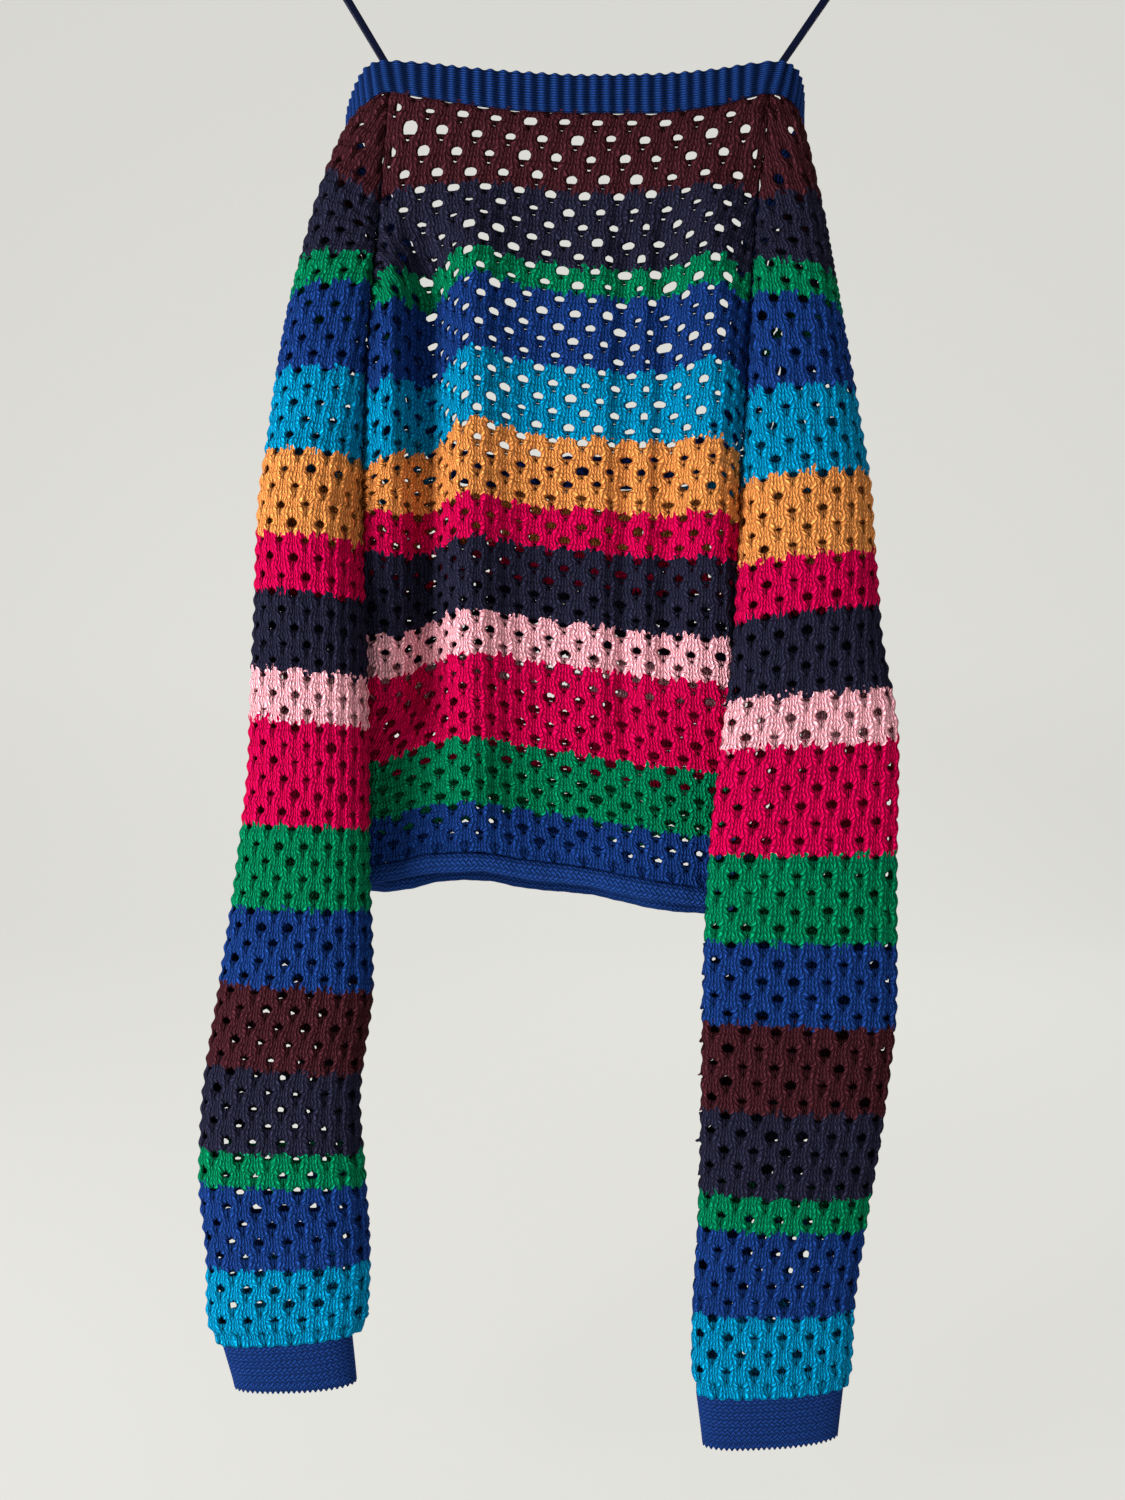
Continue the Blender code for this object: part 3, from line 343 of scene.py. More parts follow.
def layLace(name, look, place, rows, pitchAt, closedFrom, holeScale, rearScale=None, start=None,
            slits=True, flip=False):
    perPitch, perRow, half = lace["columnsPerPitch"], lace["linesPerRow"], lace["columnsPerPitch"] // 2
    rowLines = np.arange(rows * perRow + 1) / perRow
    shares = np.linspace(0, 1, lace["sectionSteps"] + 1)
    sectionRow, sectionShare = np.meshgrid(rowLines, shares, indexing="ij")
    section = place(sectionShare.ravel(), sectionRow.ravel()).reshape(len(rowLines), len(shares), 3)
    steps = np.linalg.norm(np.diff(section, axis=1), axis=2)
    run = np.concatenate([np.zeros((len(rowLines), 1)), np.cumsum(steps, axis=1)], axis=1)
    run -= run[:, [len(shares) // 2]]
    pitch = pitchAt(rowLines, run[:, -1] - run[:, 0])
    downSides = np.cross(np.diff(section, axis=0)[:, :-1], np.diff(section, axis=1)[:-1])
    spread = {
        "width": float((run[:, -1] - run[:, 0]).max()),
        "area": float(np.linalg.norm(downSides, axis=2).sum()),
        "length": float(np.linalg.norm(np.diff(section, axis=0), axis=2).sum(axis=0).max()),
    }
    reach = math.ceil((np.abs(run[:, [0, -1]]) / pitch[:, None]).max() - 1e-6)

    grid = bmesh.new()
    bmesh.ops.create_grid(grid, x_segments=2 * reach * perPitch, y_segments=rows * perRow, size=0.5)
    at = np.array([vert.co[:2] for vert in grid.verts]) + 0.5
    columnIndex = np.rint(at[:, 0] * 2 * reach * perPitch).astype(int) - reach * perPitch
    line = np.rint(at[:, 1] * rows * perRow).astype(int)
    row, lineInRow = line // perRow, line % perRow
    u, v = columnIndex / perPitch, line / perRow
    du, dv, toHole, ring = holeNudges(columnIndex, lineInRow, row % 2)
    du += lace["wander"] * np.sin(2 * math.pi * u) * np.sin(math.pi * (v + lace["wanderRow"]))

    # every hole has its own small shift and size
    hole = np.rint(u - 0.5 * (row % 2)).astype(int) + reach + 1
    table = (rows + 2, 2 * reach + 4)
    shiftU, shiftV = dice.normal(0, lace["holeShift"], table), dice.normal(0, lace["holeDrop"], table)
    size = holeScale + dice.normal(0, lace["holeSizeSpread"], table)
    if rearScale is not None:
        size[:, reach + 2:] += rearScale - holeScale  # tighter on the side turned away
    du += np.where(ring, shiftU[row, hole] + (size[row, hole] - 1) * (toHole / perPitch), 0)
    dv += np.where(ring, shiftV[row, hole] + (size[row, hole] - 1) * (lineInRow - 2.5) / perRow, 0)
    nudgedU = u + du
    nudgedV = np.clip(v + np.where((line == 0) | (line == rows * perRow), 0, dv), 0, rows)

    target = nudgedU * pitch[line]
    share = np.empty(len(u))
    for k in range(len(rowLines)):
        onLine = line == k
        share[onLine] = np.interp(target[onLine], run[k], shares)
    fromLeft, fromRight = target - run[line, 0], run[line, -1] - target
    beyond = np.where(fromLeft < 0, -1, np.where(fromRight < 0, 1, 0))
    if start is not None:
        startRow = np.interp(share, shares, start(shares))
        beyond = np.where((beyond == 0) & (nudgedV < startRow), 2, beyond)
        below = nudgedV - startRow
        nudgedV = np.maximum(nudgedV, startRow)
    points = place(share, nudgedV)
    closed = v >= closedFrom
    toSeam = np.where(closed, 1.0, np.minimum(fromLeft, fromRight))

    cords = (0.5 - 0.5 * np.cos(4 * math.pi * u)) * (0.8 + 0.2 * np.cos(2 * math.pi * v))
    relief = lace["cordRelief"] * cords
    relief += lace["barRelief"] * np.cos(2 * math.pi * (v - lace["barRow"])) - lace["cordRelief"]
    hollow = np.maximum(np.cos(2 * math.pi * u) * np.cos(math.pi * (v - lace["hollowRow"])), 0)
    relief -= lace["hollow"] * hollow ** 3
    roll = lace["seamRoll"] * np.clip(1 - toSeam / lace["seamRollWidth"], 0, 1) ** 2

    uvLayer = grid.loops.layers.uv.new("knit")
    idLayer = grid.verts.layers.int.new("place")
    for index, vert in enumerate(grid.verts):
        vert.co = points[index]
        vert[idLayer] = index
    doomed = []
    for face in grid.faces:
        ids = [vert[idLayer] for vert in face.verts]
        for loop, k in zip(face.loops, ids):
            loop[uvLayer].uv = (u[k], nudgedV[k] if start is not None and beyond[k] == 2 else v[k])
        sides = beyond[ids]
        if sides[0] != 0 and (sides == sides[0]).all():
            doomed.append(face)
            continue
        low = min(ids, key=lambda k: (line[k], columnIndex[k]))
        faceLine, faceColumn, faceRow = lineInRow[low], columnIndex[low], row[low]
        offset = (faceColumn + half - half * (faceRow % 2)) % perPitch - half
        if offset not in (-1, 0) or faceRow >= rows - lace["plainRows"]:
            continue
        isHole = 1 <= faceLine <= 3
        isSlit = slits and faceLine == 5
        if not (isHole or isSlit):
            continue
        room = min(toSeam[k] for k in ids)
        if room < lace["edgeMargin"]:
            continue
        if start is not None and min(below[k] for k in ids) < lace["neckMargin"]:
            continue
        doomed.append(face)
    bmesh.ops.delete(grid, geom=doomed, context="FACES")
    bmesh.ops.remove_doubles(grid, verts=grid.verts, dist=weldDistance)
    if flip:
        bmesh.ops.reverse_faces(grid, faces=grid.faces)

    piece = addPiece(name, grid, look)
    mesh = piece.data
    count = len(mesh.vertices)
    ids, normals, co = np.empty(count, int), np.empty(count * 3), np.empty(count * 3)
    mesh.attributes["place"].data.foreach_get("value", ids)
    mesh.vertex_normals.foreach_get("vector", normals)
    mesh.vertices.foreach_get("co", co)
    co += (normals.reshape(-1, 3) * relief[ids][:, None]).ravel()
    co[1::3] += roll[ids] * np.where(points[ids, 1] < hang["sideSeamDepth"], 1, -1)
    mesh.vertices.foreach_set("co", co)
    mesh.attributes.remove(mesh.attributes["place"])
    mesh.update()
    wall = piece.modifiers.new("Wall", "SOLIDIFY")
    wall.thickness = lace["wall"]
    wall.offset = -1
    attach(piece, "root")
    print(name, "holes cut, faces", len(mesh.polygons), spread)
    return piece, spread


# Colours as the eye sees them, 0 to 255
dyes = {
    "wine": (64, 28, 35), "navy": (35, 35, 55), "green": (2, 120, 80), "blue": (23, 55, 120),
    "cyan": (3, 134, 182), "orange": (228, 144, 77), "crimson": (201, 4, 74), "pink": (252, 177, 190),
    "band": (30, 65, 136), "cuff": (27, 60, 129), "ribbon": (9, 14, 38), "wood": (176, 140, 98),
    "steel": (198, 198, 200),
}
# Stripes: dye and the row where it starts
bodyStripes = (
    ("wine", 0), ("navy", 5), ("green", 10), ("blue", 12), ("cyan", 17), ("orange", 22), ("crimson", 27),
    ("navy", 30), ("pink", 35), ("crimson", 38), ("green", 44), ("blue", 49),
)
sleeveStripes = bodyStripes[:-1] + (
    ("blue", 49), ("wine", 54), ("navy", 59), ("green", 64), ("blue", 66), ("cyan", 71),
)


def linear(colour):
    parts = [c / 255 for c in colour]
    return [c / 12.92 if c < 0.04045 else ((c + 0.055) / 1.055) ** 2.4 for c in parts] + [1]


class Wiring:  # short calls for the nodes of one material
    def __init__(self, name):
        self.material = bpy.data.materials.new(name)
        self.material.use_nodes = True
        self.tree = self.material.node_tree
        self.shader = self.tree.nodes["Principled BSDF"]

    def feed(self, socket, value):
        if isinstance(value, bpy.types.NodeSocket):
            self.tree.links.new(value, socket)
        else:
            socket.default_value = value

    def node(self, kind, inputs=(), **settings):
        made = self.tree.nodes.new(kind)
        for key, value in settings.items():
            setattr(made, key, value)
        for key, value in dict(inputs).items():
            self.feed(made.inputs[key], value)
        return made

    def math(self, operation, a, b=0.0, c=0.0):
        return self.node("ShaderNodeMath", {0: a, 1: b, 2: c}, operation=operation).outputs[0]

    def wave(self, a, turns=1.0, shift=0.0):  # cosine of a turn count
        return self.math("COSINE", self.math("MULTIPLY_ADD", a, turns * 2 * math.pi, shift * 2 * math.pi))

    def objectPlace(self):
        return self.node("ShaderNodeTexCoord").outputs["Object"]

    def knitPlace(self):  # pitches across and knit rows down
        uv = self.node("ShaderNodeUVMap", uv_map="knit").outputs[0]
        return self.node("ShaderNodeSeparateXYZ", {0: uv}).outputs[:2]

    def plain(self, colour):
        made = self.node("ShaderNodeRGB").outputs[0]
        made.default_value = linear(colour)
        return made

    def noise(self, vector, scale, detail=2.0):
        inputs = {"Vector": vector, "Scale": scale, "Detail": detail}
        return self.node("ShaderNodeTexNoise", inputs).outputs[0]

    def shade(self, colour, value):  # the colour made lighter or darker
        return self.node("ShaderNodeHueSaturation", {"Color": colour, "Value": value}).outputs[0]

    def bump(self, height, distance, strength=1.0):
        made = self.node("ShaderNodeBump", {"Height": height, "Distance": distance, "Strength": strength})
        self.feed(self.shader.inputs["Normal"], made.outputs[0])

    def finish(self, colour, roughness, gloss=0.25):
        self.feed(self.shader.inputs["Base Color"], colour)
        self.feed(self.shader.inputs["Roughness"], roughness)
        self.shader.inputs["Specular IOR Level"].default_value = gloss
        return self.material


knitLook = {
    "stitchesPerPitch": 4, "coursesPerRow": 3, "slant": 0.8,
    "scallop": 0.13, "spike": 0.55, "ragged": 1.1, "raggedMiddle": 0.42, "unevenU": 0.10, "unevenV": 0.30,
    "contrast": 1.8, "shadow": 0.46, "fibre": 0.6, "patch": 0.25, "bumpDistance": 0.0017,
    "paintedShade": ((0.40, 2.2, 0.62), (0.93, 4.0, 0.92)),  # row share, sharpness, depth: painted shade round each hole and in each crevice
    "roughness": 0.9, "gloss": 0.02,
}


def stitches(wires, u, v, across, courses, slant):  # height of the knit side's small Vs
    turned = wires.math("MULTIPLY", u, across * 2 * math.pi)
    legs = wires.math("POWER", wires.math("SINE", turned), 2.0)
    inStitch = wires.math("PINGPONG", wires.math("MULTIPLY", u, across), 0.5)
    along = wires.math("MULTIPLY_ADD", v, courses, wires.math("MULTIPLY", inStitch, -2 * slant))
    strands = wires.math("MULTIPLY_ADD", wires.wave(along), 0.42, 0.58)
    return wires.math("MULTIPLY", legs, strands), inStitch


def knitMaterial(name, stripes, rows):
    wires = Wiring(name)
    u, v = wires.knitPlace()
    objectPlace = wires.objectPlace()
    pull = wires.math("SUBTRACT", wires.noise(objectPlace, 330.0, 1.0), 0.5)
    slack = wires.math("SUBTRACT", wires.noise(objectPlace, 210.0, 1.0), 0.5)
    unevenU = wires.math("MULTIPLY_ADD", pull, knitLook["unevenU"], u)
    unevenV = wires.math("MULTIPLY_ADD", slack, knitLook["unevenV"], v)
    height, inStitch = stitches(wires, unevenU, unevenV, knitLook["stitchesPerPitch"],
                                knitLook["coursesPerRow"], knitLook["slant"])
    tooth = wires.math("MULTIPLY_ADD", wires.math("PINGPONG", u, 0.5), -4.0, 1.0)
    scallop = wires.math("MULTIPLY", tooth, wires.wave(v, 0.5))
    shifted = wires.math("MULTIPLY_ADD", scallop, -knitLook["scallop"], v)
    shifted = wires.math("MULTIPLY_ADD", inStitch, -knitLook["spike"], shifted)
    ragged = wires.noise(objectPlace, 300.0, 1.0)
    ragged = wires.math("MULTIPLY_ADD", ragged, knitLook["ragged"], -knitLook["raggedMiddle"])
    shifted = wires.math("ADD", ragged, shifted)
    ramp = wires.node("ShaderNodeValToRGB", {0: wires.math("DIVIDE", shifted, float(rows))})
    ramp.color_ramp.interpolation = "CONSTANT"
    stops = ramp.color_ramp.elements
    for dye, start in stripes[1:]:
        stops.new(start / rows).color = linear(dyes[dye])
    stops[0].color = linear(dyes[stripes[0][0]])
    stops.remove(stops[len(stops) - 1])
    fibre = wires.noise(objectPlace, 900.0, 3.0)
    patch = wires.noise(objectPlace, 60.0, 1.0)
    light = wires.math("MULTIPLY_ADD", height, knitLook["contrast"], knitLook["shadow"])
    # painted shade: the colour darkens round the holes and in the crevices between the cords
    for rowShare, sharpness, depth in knitLook["paintedShade"]:
        near = wires.math("MULTIPLY", wires.wave(u), wires.wave(v, 0.5, -rowShare / 2))
        near = wires.math("POWER", wires.math("MAXIMUM", near, 0.0), sharpness)
        light = wires.math("MULTIPLY", light, wires.math("MULTIPLY_ADD", near, -depth, 1.04))
    light = wires.math("MULTIPLY_ADD", wires.math("SUBTRACT", fibre, 0.5), knitLook["fibre"], light)
    light = wires.math("MULTIPLY_ADD", wires.math("SUBTRACT", patch, 0.5), knitLook["patch"], light)
    wires.bump(wires.math("MULTIPLY_ADD", fibre, 0.25, height), knitLook["bumpDistance"])
    return wires.finish(wires.shade(ramp.outputs[0], light), knitLook["roughness"], knitLook["gloss"])


bodyLace = {
    "pitchRows": (0, 17, 30, hang["bodyRows"]), "pitches": (0.0197, 0.0187, 0.0176, 0.0174),
    "nearHoles": 0.82, "farHoles": 0.58,
}


def makePanels():
    look = knitMaterial("openworkBody", bodyStripes, hang["bodyRows"])
    rows, never = hang["bodyRows"], hang["bodyRows"] + 1  # no row closes to a tube

    def pitchAt(rowLines, width):
        return np.interp(rowLines, bodyLace["pitchRows"], bodyLace["pitches"])

    back = layLace("backPanel", look, nearPlace, rows, pitchAt, never, bodyLace["nearHoles"], flip=True)
    front = layLace("frontPanel", look, farPlace, rows, pitchAt, never, bodyLace["farHoles"],
                    start=farStart)
    for (piece, _), side in ((back, "back"), (front, "front")):
        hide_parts(side + "_panel")
    return [back, front]


sleeveLace = {"pitchesRound": 13, "neckPitch": 0.0170, "nearHoles": 0.72, "farHoles": 0.50}


def makeSleeves():
    look = knitMaterial("openworkSleeve", sleeveStripes, hang["sleeveRows"])
    made = []
    for name, outline, edge, courses, neckRange, out, flip in (
            ("leftSleeve", leftSleeve, leftEdge, leftCourses, (len(neckLine), neckLeftBack), -1, False),
            ("rightSleeve", rightSleeve, rightEdge, rightCourses, (neckRightFront, neckRightBack),
             1, True)):
        underarmRow = float(np.interp(hang["underarmDrop"], courses[:, 1], courses[:, 0]))
        firstClosed = math.ceil(underarmRow * lace["linesPerRow"]) / lace["linesPerRow"]

        def pitchAt(rowLines, width):
            tube = width / sleeveLace["pitchesRound"]
            atUnderarm = tube[rowLines >= firstClosed][0]
            openPitch = np.interp(rowLines, (0, firstClosed), (sleeveLace["neckPitch"], atUnderarm))
            return np.where(rowLines >= firstClosed, tube, openPitch)

        place = sleevePlace(outline, edge, courses, neckRange, out)
        piece, spread = layLace(name, look, place, hang["sleeveRows"], pitchAt, firstClosed,
                                sleeveLace["nearHoles"], sleeveLace["farHoles"], slits=False, flip=flip)
        node = "left_sleeve" if out < 0 else "right_sleeve"
        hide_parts(node + "_upper", node + "_lower")
        made.append((piece, spread))
    return made


def evenPlaces(path, last, pitch, perPitch):  # places along a closed path, level steps on the real curve
    fine = np.linspace(0, last, 2401)
    steps = np.linalg.norm(np.diff(path(fine), axis=0), axis=1)
    run = np.concatenate([[0], np.cumsum(steps)])
    count = round(run[-1] / pitch) * perPitch
    return np.interp(np.arange(count) * run[-1] / count, run, fine)


def layRing(name, points, perPitch, rowsAcross, look, node, wall=0.0):
    columns, sides = points.shape[:2]  # points by column and side; with a wall the sides stay open
    segments = sides - 1 if wall else sides
    grid = bmesh.new()
    bmesh.ops.create_grid(grid, x_segments=columns, y_segments=segments, size=0.5)
    uvLayer = grid.loops.layers.uv.new("knit")
    for face in grid.faces:
        for loop in face.loops:
            at = loop.vert.co
            loop[uvLayer].uv = ((at.x + 0.5) * columns / perPitch, (at.y + 0.5) * rowsAcross)
    for vert in grid.verts:
        columnIndex, side = round((vert.co.x + 0.5) * columns), round((vert.co.y + 0.5) * segments)
        vert.co = points[columnIndex % columns, side if wall else side % sides]
    bmesh.ops.remove_doubles(grid, verts=grid.verts, dist=weldDistance)
    bmesh.ops.recalc_face_normals(grid, faces=grid.faces)
    piece = addPiece(name, grid, look)
    if wall:
        thickness = piece.modifiers.new("Wall", "SOLIDIFY")
        thickness.thickness, thickness.offset = wall, -1
    enter(piece, node)
    print(name, "laid, faces", len(piece.data.polygons))
    return piece


# Ribbed band. Its ribs stand proud, a thin ridge lies in each groove and the free edge is serrated.
band = {
    "ribPitch": 0.0075, "columnsPerRib": 12, "wall": 0.0022, "rib": 0.0019, "ribPower": 0.75,
    "ridge": 0.0005, "ridgeWidth": 0.07, "grooveDrop": 0.0006, "serration": 0.035, "seamEnd": 0.55,
    "facings": 10, "backings": 5, "edge": ((1.02, 0.5), (1.02, -0.4)), "ladders": 16,
    "centre": (-0.010, 0.034, 0),
}


def ribMaterial():
    wires = Wiring("ribbedBlue")
    u, v = wires.knitPlace()
    crown = wires.math("MULTIPLY_ADD", wires.wave(u), 0.5, 0.5)
    fromCrown = wires.math("PINGPONG", u, 0.5)
    slanted = wires.math("MULTIPLY_ADD", fromCrown, -1.4, v)
    ladder = wires.math("MULTIPLY_ADD", wires.wave(slanted), 0.5, 0.5)
    fibre = wires.noise(wires.objectPlace(), 1100.0, 3.0)
    height = wires.math("MULTIPLY_ADD", fibre, 0.35, ladder)
    wires.bump(height, 0.0013)
    light = wires.math("MULTIPLY_ADD", crown, 0.9, 0.3)
    light = wires.math("MULTIPLY", light, wires.math("MULTIPLY_ADD", ladder, 0.80, 0.55))
    light = wires.math("MULTIPLY_ADD", wires.math("SUBTRACT", fibre, 0.5), 0.5, light)
    base = wires.plain(dyes["band"])
    return wires.finish(wires.shade(base, light), 0.85, gloss=0.03)


def makeNeckband():
    index = evenPlaces(lambda at: neckPoint(at, 0), len(neckLine), band["ribPitch"], band["columnsPerRib"])
    seam, free = neckPoint(index, 0), neckPoint(index, 3)
    out = unit(np.cross(neckPoint(index + 0.2, 0) - neckPoint(index - 0.2, 0), free - seam))
    away = ((seam - np.array(band["centre"])) * (1, 1, 0) * out).sum(axis=1)
    out *= np.where(away < 0, -1, 1)[:, None]
    phase = np.arange(len(index)) % band["columnsPerRib"] / band["columnsPerRib"]
    crown = 0.5 + 0.5 * np.cos(2 * math.pi * phase)
    ridge = band["ridge"] * np.exp(-((phase - 0.5) / band["ridgeWidth"]) ** 2)
    rib = band["rib"] * crown ** band["ribPower"] + ridge - band["grooveDrop"]
    profile = [(h, 1.0) for h in np.linspace(0, 1, band["facings"])] + list(band["edge"]) \
        + [(h, -1.0) for h in np.linspace(1, 0, band["backings"])]
    points = np.empty((len(index), len(profile), 3))
    for side, (height, layer) in enumerate(profile):
        lift = height * (1 + band["serration"] * (crown - 0.5) * (height > 0.95))
        ends = band["seamEnd"] + (1 - band["seamEnd"]) * min(1.0, height * 5)
        outward = layer * rib * ends if layer > 0 else layer * band["wall"]
        points[:, side] = seam + (free - seam) * lift[:, None] + out * np.reshape(outward, (-1, 1))
    points *= (1, 1, -1)
    rows = band["ladders"] * len(profile) / band["facings"]
    return layRing("neckBand", points, band["columnsPerRib"], rows, ribMaterial(), "neckband")


# Purl side of plain knit, on the rolled hem and the cuffs
purl = {
    "stitch": 0.0031, "columnsPerStitch": 6, "bumpDistance": 0.0012,
    "hemHeight": 0.0110, "hemThickness": 0.0064, "hemInset": 0.0012, "hemSides": 24, "hemCourses": 12,
    "hemSwells": ((0.07, 31, 0), (0.05, 83, 1), (0.03, 190, 0)),
    "cuffCourses": 13, "cuffLines": 27, "cuffWall": 0.0018, "serration": 0.0016,
}
# Each cuff's top and bottom, in millimetres: inner side, outer side, front, back, inner drop, outer drop
leftCuff = np.array([
    (-138.5, -212, -21, 2, 985.4, 992.4), (-135.5, -205, -19.5, 1, 1013.6, 1016.6),
]) / 1000
rightCuff = np.array([
    (58, 141.5, -24, -1, 1020.3, 1014.3), (61.5, 138.5, -22, -2, 1048, 1042),
]) / 1000


def purlMaterial(name, dye):
    wires = Wiring(name)
    u, v = wires.knitPlace()
    objectPlace = wires.objectPlace()
    fibre = wires.noise(objectPlace, 1100.0, 3.0)
    drift = wires.math("MULTIPLY_ADD", wires.noise(objectPlace, 220.0, 1.0), 0.5, -0.25)
    arch = wires.math("MULTIPLY_ADD", wires.wave(u), 0.22, wires.math("ADD", v, drift))
    ridges = wires.math("MULTIPLY_ADD", wires.wave(arch), 0.5, 0.5)
    snaking = wires.math("MULTIPLY_ADD", wires.wave(v, 0.5), 0.25, u)
    gaps = wires.math("MULTIPLY_ADD", wires.wave(snaking), 0.3, 0.7)
    height = wires.math("MULTIPLY", ridges, gaps)
    wires.bump(wires.math("MULTIPLY_ADD", fibre, 0.3, height), purl["bumpDistance"])
    light = wires.math("MULTIPLY_ADD", height, 0.95, 0.42)
    light = wires.math("MULTIPLY_ADD", wires.math("SUBTRACT", fibre, 0.5), 0.6, light)
    base = wires.plain(dyes[dye])
    return wires.finish(wires.shade(base, light), 0.88, gloss=0.03)


def makeHem():
    last = float(hang["bodyRows"])

    def path(turn):  # 0 to 1 across the near panel, 1 to 2 back along the far one
        turn = turn % 2
        near = nearPlace(np.clip(turn, 0, 1), np.full(turn.shape, last))
        far = farPlace(np.clip(2 - turn, 0, 1), np.full(turn.shape, last))
        return np.where((turn <= 1)[:, None], near, far)

    turn = evenPlaces(lambda at: path(np.minimum(at, 1.99999)), 2, purl["stitch"], purl["columnsPerStitch"])
    ahead = path(turn + 0.03) - path(turn - 0.03)
    out = unit(np.stack([ahead[:, 1], -ahead[:, 0], 0 * turn], axis=1))
    centre = path(turn) - out * purl["hemInset"]
    centre[:, 2] -= hang["sideGap"] + purl["hemHeight"] / 2
    swell = 1 + sum(size * np.sin(turn * times + shift) for size, times, shift in purl["hemSwells"])
    points = np.empty((len(turn), purl["hemSides"], 3))
    for side in range(purl["hemSides"]):
        angle = 2 * math.pi * side / purl["hemSides"]
        lean = math.cos(angle) * purl["hemThickness"] / 2
        points[:, side] = centre + out * (lean * swell)[:, None]
        points[:, side, 2] += math.sin(angle) * purl["hemHeight"] / 2 * (0.5 + 0.5 * swell)
    return layRing("rolledHem", points, purl["columnsPerStitch"], purl["hemCourses"],
                   purlMaterial("purlHem", "band"), "hem")


def makeCuffs():
    look = purlMaterial("purlCuff", "cuff")
    made = []
    for name, ends, node in (("leftCuffRing", leftCuff, "left_cuff"),
                             ("rightCuffRing", rightCuff, "right_cuff")):
        def place(share, along):
            inner, outer, front, back, innerDrop, outerDrop = (
                top + (bottom - top) * along for top, bottom in zip(*ends))
            angle = share * 2 * math.pi
            power = hang["sectionPower"]
            reach = np.copysign(np.abs(np.cos(angle)) ** power, np.cos(angle))
            depth = np.copysign(np.abs(np.sin(angle)) ** power, np.sin(angle))
            drop = innerDrop + (outerDrop - innerDrop) * (1 - np.cos(angle)) / 2
            return np.stack([(inner + outer) / 2 + (inner - outer) / 2 * reach,
                             (front + back) / 2 - (back - front) / 2 * depth, -drop], axis=1)

        share = evenPlaces(lambda at: place(at, 0.5), 1, purl["stitch"], purl["columnsPerStitch"])
        stitch = np.arange(len(share)) / purl["columnsPerStitch"]
        points = np.stack([place(share, along) for along in np.linspace(-0.02, 1, purl["cuffLines"])], axis=1)
        edge = np.linspace(0, 1, purl["cuffLines"]) ** 6
        points[:, :, 2] += np.outer(np.cos(2 * math.pi * stitch) * 0.5 - 0.5, edge) * purl["serration"]
        made.append(layRing(name, points, purl["columnsPerStitch"], purl["cuffCourses"], look, node,
                            purl["cuffWall"]))
    return made


# Ribbon loops over the hanger's notches, and the hanger itself
ribbon = {
    "width": 0.0042, "thickness": 0.0007, "sewn": 0.012, "clear": 0.0058, "overArm": 0.014,
    "bend": 0.45, "plyGap": 0.0001, "overGap": 0.0003, "samples": 90,
    "profile": ((-1, -0.5), (-0.7, -1), (0.7, -1), (1, -0.5), (1, 0.5), (0.7, 1), (-0.7, 1), (-1, 0.5)),
}
hanger = {
    "halfWidth": 0.216, "thickness": 0.010, "topDrop": 0.052, "slope": 0.094, "slopeRound": 0.2,
    "notchX": 0.200, "notchDepth": 0.004, "notchHalfWidth": 0.006, "height": 0.018, "taper": 0.006,
    "endShare": 0.55, "endRound": 0.003, "squareness": 0.7, "sides": 28, "stations": 120,
}
# The hook: its wire's radius, its own radius, where its arc starts and how far it turns in degrees
hook = {
    "wire": 0.0018, "radius": 0.019, "start": 205, "turn": 265, "steps": 48, "lead": 0.006,
    "sunk": 0.002,
}


def hangerTop(x):
    reach = np.abs(x) / hanger["halfWidth"]
    notch = np.clip(1 - np.abs(np.abs(x) - hanger["notchX"]) / hanger["notchHalfWidth"], 0, 1)
    rise = np.sqrt(reach**2 + hanger["slopeRound"] ** 2) - hanger["slopeRound"]
    return hanger["topDrop"] + hanger["slope"] * rise + hanger["notchDepth"] * notch


def satinMaterial():
    wires = Wiring("navySatin")
    weave = wires.noise(wires.objectPlace(), 2600.0, 1.0)
    wires.bump(weave, 0.0002, 0.6)
    base = wires.plain(dyes["ribbon"])
    return wires.finish(wires.shade(base, wires.math("MULTIPLY_ADD", weave, 0.5, 0.75)), 0.36, gloss=0.10)


def makeLoops():
    look = satinMaterial()
    made = []
    for name, foot, side, node in (("leftRibbon", (-0.1205, 0.2555, 0.0047), -1, "left_loop"),
                                   ("rightRibbon", (0.1085, 0.2560, 0.0050), 1, "right_loop")):
        x, drop, inside = foot
        notchX = side * hanger["notchX"]
        base = np.array((x, 0, -drop))
        along = np.array((notchX, 0, -float(hangerTop(notchX)))) - base
        length = np.linalg.norm(along)
        along /= length
        clear, ply = ribbon["clear"], ribbon["thickness"] / 2 + ribbon["plyGap"]
        over = ribbon["overGap"] + ribbon["thickness"] / 2 + ribbon["width"] * ribbon["bend"]
        front = ((-ribbon["sewn"], inside - ply), (0, inside - ply), (length * 0.5, -clear * 0.35),
                 (length - ribbon["overArm"], -clear), (length - 0.001, -clear),
                 (length + over, -clear * 0.6), (length + over + 0.0004, 0))
        back = tuple((reach, 2 * inside - y if reach <= 0 else -y) for reach, y in front[:-1])
        route = np.array(front + back[::-1])
        closedRoute = np.vstack([route, route[:1]])
        run = np.concatenate([[0], np.cumsum(np.linalg.norm(np.diff(closedRoute, axis=0), axis=1))])
        at = np.arange(ribbon["samples"]) / ribbon["samples"] * run[-1]
        place = np.stack([np.interp(at, run, closedRoute[:, i]) for i in (0, 1)], axis=1)
        middle = base + place[:, :1] * along + np.stack([0 * at, place[:, 1], 0 * at], axis=1)
        ahead = np.roll(middle, -1, axis=0) - np.roll(middle, 1, axis=0)
        acrossRibbon = np.cross(along, (0, 1, 0))
        face = unit(np.cross(ahead, acrossRibbon)) * ribbon["thickness"] / 2
        wide = acrossRibbon * ribbon["width"] / 2
        points = np.stack([middle + w * wide + t * face for w, t in ribbon["profile"]], axis=1)
        made.append(layRing(name, points, 1, 1, look, node))
    return made


